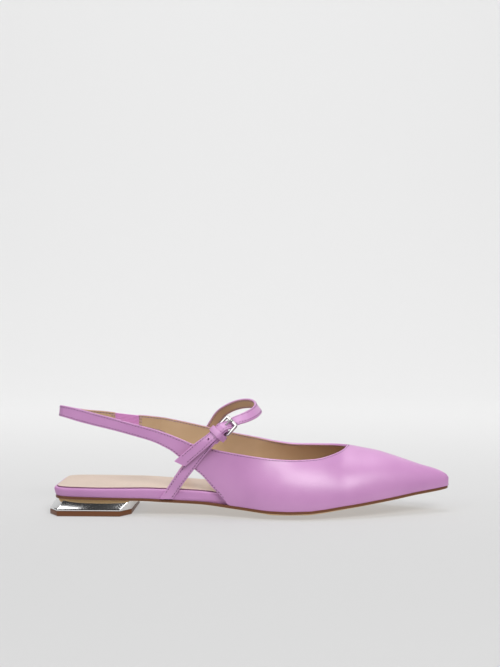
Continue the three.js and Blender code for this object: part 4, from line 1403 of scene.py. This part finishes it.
    def build(self) -> None:
        """Makes the wall, its seams and the elastic."""
        outer, inner = self.lines(Side.OUTER), self.lines(Side.INNER)
        sheet = joined([grid(outer), grid(inner)])
        bmesh.ops.recalc_face_normals(sheet, faces=sheet.faces)
        flank = min(sheet.faces, key=lambda face: face.calc_center_median().y)
        if flank.normal.y > 0:
            bmesh.ops.reverse_faces(sheet, faces=sheet.faces)
        tree = BVHTree.FromBMesh(sheet)
        self._sew(outer, inner, tree)
        holder = loose(sheet, "sheet", (LILAC.material(), LINING.material()))
        shell = holder.modifiers.new("wall", "SOLIDIFY")
        shell.thickness = self.wall
        shell.offset = -1
        shell.material_offset = 1
        shell.material_offset_rim = 0
        bm = baked(holder)
        self._round_edges(bm)
        settle(bm, "upper_leather", (LILAC, LINING), Slot.UPPER, ("upper",), sharp=50)
        self._gore()

    def _throat(self) -> Vector:
        """Point of the topline at the throat."""
        return Vector((self.throat_x, self.crest_y(self.throat_x), self.throat_height))

    def _bare(self, v: bmesh.types.BMVert) -> bool:
        """Whether a point is well above the sole and off the narrow ends.

        Args:
            v: the point, in millimetres.

        Returns:
            Whether its edges can be rounded.
        """
        above = v.co.z > self.last.top(v.co.x, v.co.y) + self.plain_sole
        behind = v.co.x < self.last.toe_tip - self.plain_nose
        return above and behind and (v.co - self._throat()).length > self.plain_throat

    def _round_edges(self, bm: bmesh.types.BMesh) -> None:
        """Rounds the turned edges of the topline, the sling and the side cut.

        Args:
            bm: the wall in millimetres, its leather with finish 0 and its lining with finish 1.
        """
        turned = [
            edge for edge in bm.edges
            if edge.calc_face_angle(0.0) > math.radians(self.turned)
            and all(self._bare(v) for v in edge.verts)
            and not all(face.material_index for face in edge.link_faces)
        ]
        round_off(bm, turned, self.edge_round, False)

    def _sew(self, outer: list[Line], inner: list[Line], tree: BVHTree) -> None:
        """Seams along the topline, the sling's lower edge and the side cut, on both faces.

        Args:
            outer: rows of the outer side.
            inner: rows of the inner side.
            tree: the faces of both.
        """
        top = [row[-1] for row in outer[: self._throat_row(outer) + 1]]
        top += [row[-1] for row in reversed(inner[: self._throat_row(inner)])]
        runs = [top]
        for rows in (outer, inner):
            edge = [row[0] for row in rows[: self._throat_row(rows)]]
            clear = [p for p in edge if p.z > self.last.top(p.x, p.y) + 3.0]
            runs.append([p for p in clear if p.x < self.cut_x - 4])
        face = Seams("upper_stitches", THREAD, Slot.UPPER)
        back = Seams("lining_stitches", THREAD, Slot.UPPER)
        for run in runs:
            places, normals = inset_line(run, tree, self.stitch_inset)
            face.sew(places, normals)
            back.sew([p - n * self.wall for p, n in zip(places, normals)], [-n for n in normals])
        for at, sign in ((self.gore_from, -1), (self.gore_to, 1)):
            for reach in self.tack_rows:
                t = at + sign * reach
                places = [self.sling_point(t, down) for down in self.tack_run]
                inside = [self.sling_point(t, down, self.wall) for down in self.tack_run]
                out = (places[1] - inside[1]).normalized()
                face.sew(places, [out] * 3)
                back.sew(inside, [-out] * 3)
        face.finish()
        back.finish()

    def _throat_row(self, rows: list[Line]) -> int:
        """Number of the row at the throat."""
        far = [(row[-1] - self._throat()).length for row in rows]
        return far.index(min(far))

    def _gore(self) -> None:
        """Ribbed elastic, its ends held between leather and lining."""
        count, across = 60, self.gore_ribs * 8
        inset = (self.wall - self.gore_thickness) / 2
        share = self.gore_width / self.sling_width
        rings = []
        for n in range(count + 1):
            t = mix(self.gore_from - self.gore_tuck, self.gore_to + self.gore_tuck, n / count)
            ring = []
            for face, depth in ((0, inset), (1, inset + self.gore_thickness)):
                for k in range(across + 1):
                    place = k / across if face == 0 else 1 - k / across
                    swell = math.sin(math.pi * ((place * self.gore_ribs) % 1.0)) ** 0.7
                    rib = self.gore_relief * swell
                    down = 1 - (1 - share) / 2 - place * share
                    deep = depth - rib if face == 0 else depth + rib
                    ring.append(self.sling_point(t, down, deep))
            rings.append(ring)
        bm = tube(rings)
        settle(bm, "ribbed_elastic", (ELASTIC,), Slot.ELASTIC, ("elastic_gore",), sharp=70)


@dataclass
class Band:
    """Flat strap along a table of places, each with the lean of its width."""

    places: Sequence[tuple[Vector, Vector]]
    width: float
    thickness: float
    outward: int
    slant: float = 0.0
    foot_slant: float = 0.0
    corner: float = 0.45
    crown: float = 0.1
    slant_run: float = 5.0
    foot_run: float = 7.0

    def __post_init__(self) -> None:
        """Draws the path and the turning of its width."""
        self.path = Path([at for at, _ in self.places])
        self.turns = Path([across for _, across in self.places])

    def frame(self, t: float) -> tuple[Vector, Vector, Vector, Vector]:
        """Place and directions on the band.

        Args:
            t: share of its path.

        Returns:
            The place, and the directions along, across and out of the face.
        """
        at, along, lean = self.path.point(t), self.path.tangent(t), self.turns.point(t)
        across = (lean - along * lean.dot(along)).normalized()
        return at, along, across, along.cross(across) * self.outward

    def _section(self) -> list[tuple[float, float]]:
        """Section of the band.

        Returns:
            Places across and out, the five of the lining face first.
        """
        half, thick, r = self.width / 2 - self.corner, self.thickness / 2, self.corner
        section = [(half * (k / 2 - 1), -thick) for k in range(5)]
        turn = [(-1, -60), (-1, -30), (-1, 0), (1, 0), (1, 30), (1, 60)]
        side = []
        for sign, angle in [(sign, math.radians(degrees)) for sign, degrees in turn]:
            side.append((half + r * math.cos(angle), sign * (thick - r) + r * math.sin(angle)))
        section += side
        for place in [1 - k / 2 for k in range(5)]:
            section.append((half * place, thick + self.crown * (1 - place**2)))
        section += [(-w, n) for w, n in reversed(side)]
        return section

    def mesh(self) -> bmesh.types.BMesh:
        """Makes the band, its lining face with finish 1.

        Returns:
            The closed mesh.
        """
        section = self._section()
        whole = self.path.lengths()[-1]
        rings = []
        for t in along_path(self.path, 0.55):
            at, along, across, out = self.frame(t)
            tail = self.slant * max(0.0, 1 - (1 - t) * whole / self.slant_run)
            end = tail + self.foot_slant * max(0.0, 1 - t * whole / self.foot_run)
            ring = []
            for w, n in section:
                slide = along * (w / (self.width / 2) * end)
                ring.append(at + across * w + out * n + slide)
            rings.append(ring)
        return tube(rings, lambda i, k: 1 if k < 4 else 0)

    def sew(
        self, seams: Seams, start: float, end: float, inset: float, lining: bool = False
    ) -> None:
        """Sews both edges of a face.

        Args:
            seams: the stitches.
            start: share of the path where the seam starts.
            end: share where it ends.
            inset: distance from the band's edge.
            lining: whether the face is the lining's.
        """
        rise = (self.thickness / 2 + self.crown * 0.4) * (-1 if lining else 1)
        for sign in (-1, 1):
            points, normals = [], []
            for k in range(161):
                at, _, across, out = self.frame(mix(start, end, k / 160))
                points.append(at + across * (sign * (self.width / 2 - inset)) + out * rise)
                normals.append(-out if lining else out)
            seams.sew(points, normals)


def rounded(
    half_a: float, half_b: float, corner: float, steps: int
) -> list[tuple[float, float, float]]:
    """Rectangle with round corners.

    Args:
        half_a: half its first side.
        half_b: half its second side.
        corner: radius of its corners.
        steps: steps round each corner.

    Returns:
        Places on both axes, and the angle that each faces.
    """
    made = []
    for sa, sb, start in ((1, -1, -90), (1, 1, 0), (-1, 1, 90), (-1, -1, 180)):
        for k in range(steps + 1):
            angle = math.radians(start + 90 * k / steps)
            a = sa * (half_a - corner) + corner * math.cos(angle)
            b = sb * (half_b - corner) + corner * math.sin(angle)
            made.append((a, b, angle))
    return made


LEG = (-0.79, 0, 0.61)
OVER_INSTEP = (
    (0.389, 1.043, 0.777, -0.7, -0.3, 0.6), (0.4087, 0.893, 0.883, -0.62, -0.42, 0.65),
    (0.4342, 0.679, 0.952, -0.55, -0.4, 0.7), (0.4645, 0.443, 0.999, -0.55, -0.2, 0.8),
    (0.489, 0.214, 1.014, -0.57, -0.05, 0.82), (0.505, -0.018, 1.008, -0.58, 0.15, 0.8),
    (0.5115, -0.268, 0.988, -0.55, 0.35, 0.76), (0.507, -0.55, 0.966, -0.45, 0.5, 0.76),
    (0.4955, -0.78, 0.944, -0.4, 0.52, 0.76), (0.4785, -0.945, 0.921, -0.42, 0.54, 0.74),
)


@dataclass
class Straps:
    """Instep strap, buckle strap, keeper and the buckle."""

    last: Last
    upper: Upper
    footbed: Footbed
    strap_width: float = 7.5
    strap_thickness: float = 1.4
    tail_slant: float = 1.7
    foot_slant: float = -2.6
    foot_gap: float = 0.15
    hole_diameter: float = 1.5
    hole_spacing: float = 7.2
    prong_row: float = 16.85
    buckle_length: float = 10.8
    buckle_bar: float = 2.0
    bar_depth: float = 1.5
    prong_diameter: float = 1.1
    prong_past: float = 1.4
    keeper_width: float = 4.2
    keeper_thickness: float = 1.1
    keeper_offset: float = 0.3
    keeper_gap: float = 0.2
    keeper_round: float = 0.9
    frame_round: float = 1.1
    bar_round: float = 0.42
    stitch_inset: float = 1.15

    def __post_init__(self) -> None:
        """Sets the buckle's axes and the layers of the straps at it."""
        self.collar_half = self.upper.collar_width / 2
        self.centre = self._place(0.4382, -1.114, 0.8555)
        self.along = Vector((0.68, 0.06, 0.73)).normalized()
        lean = Vector((-0.62, 0.58, 0.5))
        self.across = (lean - self.along * lean.dot(self.along)).normalized()
        self.out = self.along.cross(self.across).normalized()
        seam, half = self.last.seam, self.strap_thickness / 2
        self.buckle_width = self.strap_width + 2 * self.buckle_bar + 3 * seam
        self.bar_reach = (self.buckle_length - self.buckle_bar) / 2
        self.bar_half = self.buckle_bar / 2
        self.fold = self.bar_half + seam + half
        self.fold_out = self.fold - self.strap_thickness - seam
        self.tail_out = self.fold + self.strap_thickness + seam
        self.quarter_reach = self.collar_half + seam + half

    def _place(self, at: float, reach: float, height: float) -> Vector:
        """Place as shares of the sole's length, half the collar and the sling's height."""
        return self._beside(at, reach * self.collar_half, height)

    def _beside(self, at: float, y: float, height: float) -> Vector:
        """Place at a share of the sole's length, a y and a share of the sling's height."""
        return Vector((self.last.at(at), y, height * self.upper.sling_height))

    def _from_buckle(self, along: float, across: float, out: float) -> Vector:
        """Place on the buckle's own axes."""
        return self.centre + self.along * along + self.across * across + self.out * out

    def _from_hinge(self, along: float, across: float, out: float) -> Vector:
        """Place on the buckle's axes, from its hinge bar."""
        return self._from_buckle(along - self.bar_reach, across, out)

    def _foot(self, side: Side) -> list[tuple[Vector, Vector]]:
        """Foot of a strap, against the footbed's rim.

        Args:
            side: side of the foot.

        Returns:
            Rows of a band: places and the lean of its width.
        """
        last, rows = self.last, []
        for share, rise in ((0.285, self.strap_width * 0.08), (0.2993, self.footbed.thickness)):
            x = last.at(share)
            gap = last.seam + self.strap_thickness / 2 - self.footbed.inset(x) + self.foot_gap
            y = last.swing(x) + side.value * (last.half(x) + gap)
            rows.append((Vector((x, y, last.top(x, 0) + last.seam + rise)), Vector(LEG)))
        return rows

    def _buckle_band(self) -> Band:
        """Strap from the outer sole edge round the hinge bar and back inside.

        Returns:
            The band.
        """
        leg, reach = Vector(LEG), self.quarter_reach
        rows = self._foot(Side.OUTER) + [
            (self._place(0.3207, -1.007, 0.36), leg),
            (self._beside(0.3458, -reach, 0.483), leg),
            (self._beside(0.375, -reach - 1.2, 0.62), Vector((-0.77, 0.12, 0.63))),
        ]
        fold = [(-8.5, self.fold), (-2.6, self.fold)]
        for angle in [math.radians(turn) for turn in range(90, -91, -30)]:
            fold.append((self.fold * math.cos(angle), self.fold * math.sin(angle)))
        fold += [(-2.4, -self.fold * 0.9), (-5.2, self.fold_out - 0.6), (-9.5, self.fold_out)]
        rows += [(self._from_hinge(along, 0, out), self.across) for along, out in fold]
        return Band(rows, self.strap_width, self.strap_thickness, 1, 0.0, self.foot_slant)

    def _instep_band(self) -> Band:
        """Strap from the inner sole edge over the instep and through the buckle.

        Returns:
            The band, under the buckle's front bar and out over its hinge.
        """
        leg, reach = Vector(LEG), self.quarter_reach
        under = self.bar_half + self.last.seam + self.strap_thickness / 2
        rows = self._foot(Side.INNER) + [
            (self._place(0.3207, 0.99, 0.36), leg),
            (self._beside(0.3458, reach, 0.483), leg),
            (self._beside(0.3717, reach + 0.4, 0.662), leg),
        ]
        rows += [(self._place(at, out, up), Vector(lean)) for at, out, up, *lean in OVER_INSTEP]
        rows += [
            (self._from_buckle(self.bar_reach + 0.9, -0.5, -under - 0.1), self.across),
            (self._from_buckle(self.bar_reach - 1.8, -0.3, -under + 0.1), self.across),
            (self._from_hinge(3.1, 0, self.tail_out - 1.45), self.across),
            (self._from_hinge(1.2, 0.1, self.tail_out - 0.05), self.across),
            (self._from_hinge(-0.8, 0.2, self.tail_out + 0.1), self.across),
            (self._from_hinge(-8.5, 0.5, self.tail_out + 0.1), self.across),
            (self._beside(0.3622, -reach - 4.05, 0.639), Vector((-0.72, 0.14, 0.69))),
            (self._beside(0.321, -reach - 2.6, 0.504), Vector((-0.72, 0.05, 0.69))),
        ]
        width, thickness = self.strap_width, self.strap_thickness
        return Band(rows, width, thickness, -1, self.tail_slant, self.foot_slant)

    def _prong_path(self, extra: float) -> Path:
        """Path of the prong, from its eye on the hinge bar past the front bar.

        Args:
            extra: how much longer it is at both ends, for a cutter.

        Returns:
            The path.
        """
        rest = self.bar_half + self.last.seam + self.prong_diameter / 2
        points = []
        for i, turn in enumerate((320, 280, 240, 200, 160, 120, 90)):
            angle = math.radians(turn) + (extra / rest if i == 0 else 0)
            points.append(self._from_hinge(rest * math.cos(angle), 0, rest * math.sin(angle)))
        reach = self.bar_reach
        for along in (reach * 0.7, reach * 1.4, 2 * reach + self.prong_past + extra):
            points.append(self._from_hinge(along, 0, rest))
        return Path(points)

    def _round_bar(self, path: Path, radius: float, tapered: bool) -> bmesh.types.BMesh:
        """Round bar along a path.

        Args:
            path: its middle line.
            radius: its radius.
            tapered: whether its end is drawn in.

        Returns:
            The closed mesh.
        """
        sides, tip, run = 14, 0.35, 1.6
        rings, whole = [], path.lengths()[-1]
        for t in along_path(path, 0.35):
            at, along = path.point(t), path.tangent(t)
            a = (self.across - along * self.across.dot(along)).normalized()
            b = along.cross(a)
            left = (1 - t) * whole
            drawn = mix(tip, 1.0, math.sqrt(min(1.0, left / run)))
            r = radius * drawn if tapered else radius
            turns = [math.radians(360 / sides * k) for k in range(sides)]
            rings.append([at + a * (r * math.cos(k)) + b * (r * math.sin(k)) for k in turns])
        return tube(rings)

    def _drilled(
        self, bm: bmesh.types.BMesh, cutters: Sequence[bmesh.types.BMesh]
    ) -> bmesh.types.BMesh:
        """Band with holes cut in it.

        Args:
            bm: the band, freed here.
            cutters: closed meshes to take away, freed too.

        Returns:
            The band with its holes.
        """
        holder = loose(bm, "band", (LILAC.material(), LINING.material()))
        helpers = []
        for cutter in cutters:
            helper = loose(cutter, "cutter")
            helpers.append(helper)
            hole = holder.modifiers.new("hole", "BOOLEAN")
            hole.operation = "DIFFERENCE"
            hole.solver = "EXACT"
            hole.object = helper
        return baked(holder, helpers)

    def _hole(self, band: Band, t: float) -> bmesh.types.BMesh:
        """Cutter for a hole in a strap.

        Args:
            band: the strap.
            t: share of its path.

        Returns:
            The closed cutter.
        """
        at, along, across, out = band.frame(t)
        bm, radius = bmesh.new(), self.hole_diameter / 2
        turn = Matrix((along, across, out)).transposed().to_4x4()
        bmesh.ops.create_cone(
            bm, cap_ends=True, segments=20, radius1=radius, radius2=radius,
            depth=self.strap_thickness * 3, matrix=Matrix.Translation(at) @ turn,
        )
        bmesh.ops.recalc_face_normals(bm, faces=bm.faces)
        return bm

    def build(self) -> None:
        """Makes the straps, their stitches, the keeper and the buckle."""
        seams = Seams("strap_stitches", THREAD, Slot.UPPER, pitch=2.2)
        radius = self.prong_diameter / 2
        slot = (self._prong_path(self.last.seam), radius + self.last.seam * 0.8, False)
        buckle_band = self._buckle_band()
        bm = self._drilled(buckle_band.mesh(), [self._round_bar(*slot)])
        settle(bm, "buckle_strap_leather", (LILAC, LINING), Slot.UPPER, ("buckle_strap",), sharp=50)
        buckle_band.sew(seams, 0.02, 0.6, self.stitch_inset)
        instep = self._instep_band()
        cutters = [self._round_bar(*slot)]
        for holes in (-1, 1, 2):
            t = share_at(instep.path, self.prong_row, holes * self.hole_spacing)
            cutters.append(self._hole(instep, t))
        bm = self._drilled(instep.mesh(), cutters)
        settle(bm, "instep_strap_leather", (LILAC, LINING), Slot.UPPER, ("instep_strap",), sharp=50)
        instep.sew(seams, 0.01, 0.985, self.stitch_inset)
        instep.sew(seams, 0.01, 0.66, self.stitch_inset, lining=True)
        seams.finish()
        self._keeper()
        self._frame()
        prong = self._round_bar(self._prong_path(0), radius, True)
        settle(prong, "silver_prong", (SILVER,), Slot.BUCKLE, ("buckle_prong",), sharp=60)

    def _keeper(self) -> None:
        """Loop of leather round the buckle strap and the tail."""
        seam, half = self.last.seam, self.strap_thickness / 2
        along = -self.bar_half - seam - self.keeper_gap - self.keeper_width / 2
        low, high = -self.fold - half - seam, self.tail_out + half + seam + 0.1
        wide, middle, tall = self.strap_width / 2 + seam + 0.15, (low + high) / 2, (high - low) / 2
        thick = self.keeper_thickness / 2
        section = [(a, g + thick) for a, g, _ in rounded(self.keeper_width / 2, thick, 0.3, 3)]
        rings = []
        for w, n, angle in rounded(wide, tall, self.keeper_round, 6):
            ring = []
            for a, grow in section:
                wide_at, out_at = w + grow * math.cos(angle), middle + n + grow * math.sin(angle)
                ring.append(self._from_hinge(along + a, wide_at + self.keeper_offset, out_at))
            rings.append(ring)
        bm = grid([*rings, rings[0]], wrap=True)
        settle(bm, "keeper_loop", (LILAC,), Slot.UPPER, ("keeper",), sharp=50)

    def _frame(self) -> None:
        """Square frame of polished bars."""
        reach, wide = self.bar_reach, (self.buckle_width - self.buckle_bar) / 2
        rings = []
        for a, w, angle in rounded(reach, wide, self.frame_round, 6):
            outward = self.along * math.cos(angle) + self.across * math.sin(angle)
            at = self._from_buckle(a, w, 0)
            section = rounded(self.bar_half, self.bar_depth / 2, self.bar_round, 3)
            rings.append([at + outward * g + self.out * n for g, n, _ in section])
        bm = grid([*rings, rings[0]], wrap=True)
        settle(bm, "silver_buckle_frame", (SILVER,), Slot.BUCKLE, ("buckle_frame",), sharp=50)


@dataclass
class Lamp:
    """Soft box: its name, place and target in metres, its sides and its power."""

    name: str
    place: tuple[float, float, float]
    target: tuple[float, float, float]
    size: tuple[float, float]
    power: float


@dataclass
class Studio:
    """Pale floor that runs up into a backdrop, soft lamps and the camera."""

    focal_px: float = 1050.0
    frame_px: float = 667.0
    azimuth: float = 2.0
    pitch: float = 1.6246
    eye: tuple[float, float, float] = (133.3, -727.7, 143.3)
    near: Shade = (0.262, 0.262, 0.262)
    far: Shade = (0.362, 0.362, 0.362)
    fade: tuple[float, float] = (-0.25, 0.75)
    glow: float = 1.4
    sky: float = 0.6
    dark: float = 0.22
    dusk: tuple[float, float] = (0.2, 0.5)
    lamps: list[Lamp] = field(default_factory=lambda: [
        Lamp("key", (0.60, -1.02, 1.14), (0.14, 0.0, 0.03), (0.8, 0.6), 16.0),
        Lamp("front", (-1.00, -0.85, 1.20), (0.04, 0.0, 0.03), (1.1, 0.9), 10.0),
        Lamp("top", (0.10, 0.35, 1.80), (0.12, 0.0, 0.0), (1.6, 1.0), 9.0),
        Lamp("wall", (0.10, 0.10, 2.30), (0.12, 1.6, 0.8), (2.4, 0.6), 16.0),
    ])

    def floor(self) -> None:
        """Floor and backdrop in one sweep."""
        bend, far, high, below = 0.7, 1.5, 3.2, 0.0001
        profile = [(-2.5, 0.0), (far - bend, 0.0)]
        for angle in [math.radians(90 * k / 16) for k in range(1, 17)]:
            profile.append((far - bend + bend * math.sin(angle), bend - bend * math.cos(angle)))
        profile.append((far, high))
        lines = [[Vector((x, y, z - below)) for x in (-3.0, 3.2)] for y, z in profile]
        bm = grid(lines)
        bmesh.ops.recalc_face_normals(bm, faces=bm.faces)
        if bm.faces[:][0].normal.z < 0:
            bmesh.ops.reverse_faces(bm, faces=bm.faces)
        for face in bm.faces:
            face.smooth = True
        sweep = loose(bm, "studio_sweep")
        paper = bpy.data.materials.new("backdrop_paper")
        paper.use_nodes = True
        nodes, links = paper.node_tree.nodes, paper.node_tree.links
        shader = nodes["Principled BSDF"]
        place, split = nodes.new("ShaderNodeTexCoord"), nodes.new("ShaderNodeSeparateXYZ")
        tone = nodes.new("ShaderNodeMix")
        tone.data_type = "RGBA"
        tone.inputs["A"].default_value = (*self.near, 1)
        tone.inputs["B"].default_value = (*self.far, 1)
        links.new(place.outputs["Object"], split.inputs["Vector"])
        links.new(ranged(split.outputs["Y"], self.fade, smooth=True), tone.inputs["Factor"])
        links.new(tone.outputs["Result"], shader.inputs["Base Color"])
        links.new(tone.outputs["Result"], shader.inputs["Emission Color"])
        shader.inputs["Emission Strength"].default_value = self.glow
        shader.inputs["Roughness"].default_value = 0.9
        shader.inputs["Specular IOR Level"].default_value = 0.1
        sweep.data.materials.append(paper)

    def light(self) -> None:
        """Lamps and an even sky."""
        for lamp in self.lamps:
            data = bpy.data.lights.new(lamp.name, "AREA")
            data.shape = "RECTANGLE"
            data.size, data.size_y = lamp.size
            data.energy = lamp.power
            made = bpy.data.objects.new(lamp.name, data)
            made.location = lamp.place
            aim = Vector(lamp.target) - Vector(lamp.place)
            made.rotation_euler = aim.to_track_quat("-Z", "Y").to_euler()
            bpy.context.scene.collection.objects.link(made)
        world = bpy.data.worlds.new("studio_sky")
        world.use_nodes = True
        nodes, links = world.node_tree.nodes, world.node_tree.links
        back = nodes["Background"]
        place, split = nodes.new("ShaderNodeTexCoord"), nodes.new("ShaderNodeSeparateXYZ")
        links.new(place.outputs["Generated"], split.inputs["Vector"])
        light = ranged(split.outputs["Z"], self.dusk, (self.dark, self.sky), smooth=True)
        links.new(light, back.inputs["Strength"])
        bpy.context.scene.world = world

    def camera(self) -> None:
        """Camera at the photograph's angle."""
        azimuth, pitch = math.radians(self.azimuth), math.radians(self.pitch)
        level, down = math.cos(pitch), -math.sin(pitch)
        ahead = Vector((-math.sin(azimuth) * level, math.cos(azimuth) * level, down))
        right = Vector((math.cos(azimuth), math.sin(azimuth), 0))
        up = right.cross(ahead)
        data = bpy.data.cameras.new("camera")
        data.sensor_fit = "AUTO"
        data.sensor_width = 36.0
        data.lens = self.focal_px / self.frame_px * data.sensor_width
        data.clip_start, data.clip_end = 0.02, 20.0
        made = bpy.data.objects.new("camera", data)
        turn = Matrix((right, up, -ahead)).transposed().to_4x4()
        made.matrix_world = Matrix.Translation(Vector(self.eye) * MM) @ turn
        bpy.context.scene.collection.objects.link(made)
        bpy.context.scene.camera = made

    def build(self) -> None:
        """Makes the studio."""
        self.floor()
        self.light()
        self.camera()
        bpy.context.scene.view_settings.view_transform = "Standard"


def main() -> None:
    """Builds every piece in order."""
    logging.basicConfig(level=logging.INFO, format="%(name)s %(message)s")
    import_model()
    studio = Studio()
    studio.build()
    last = Last()
    Sole(last).build()
    footbed = Footbed(last)
    footbed.build()
    upper = Upper(last)
    upper.build()
    Straps(last, upper, footbed).build()


if __name__ == "__main__":
    main()
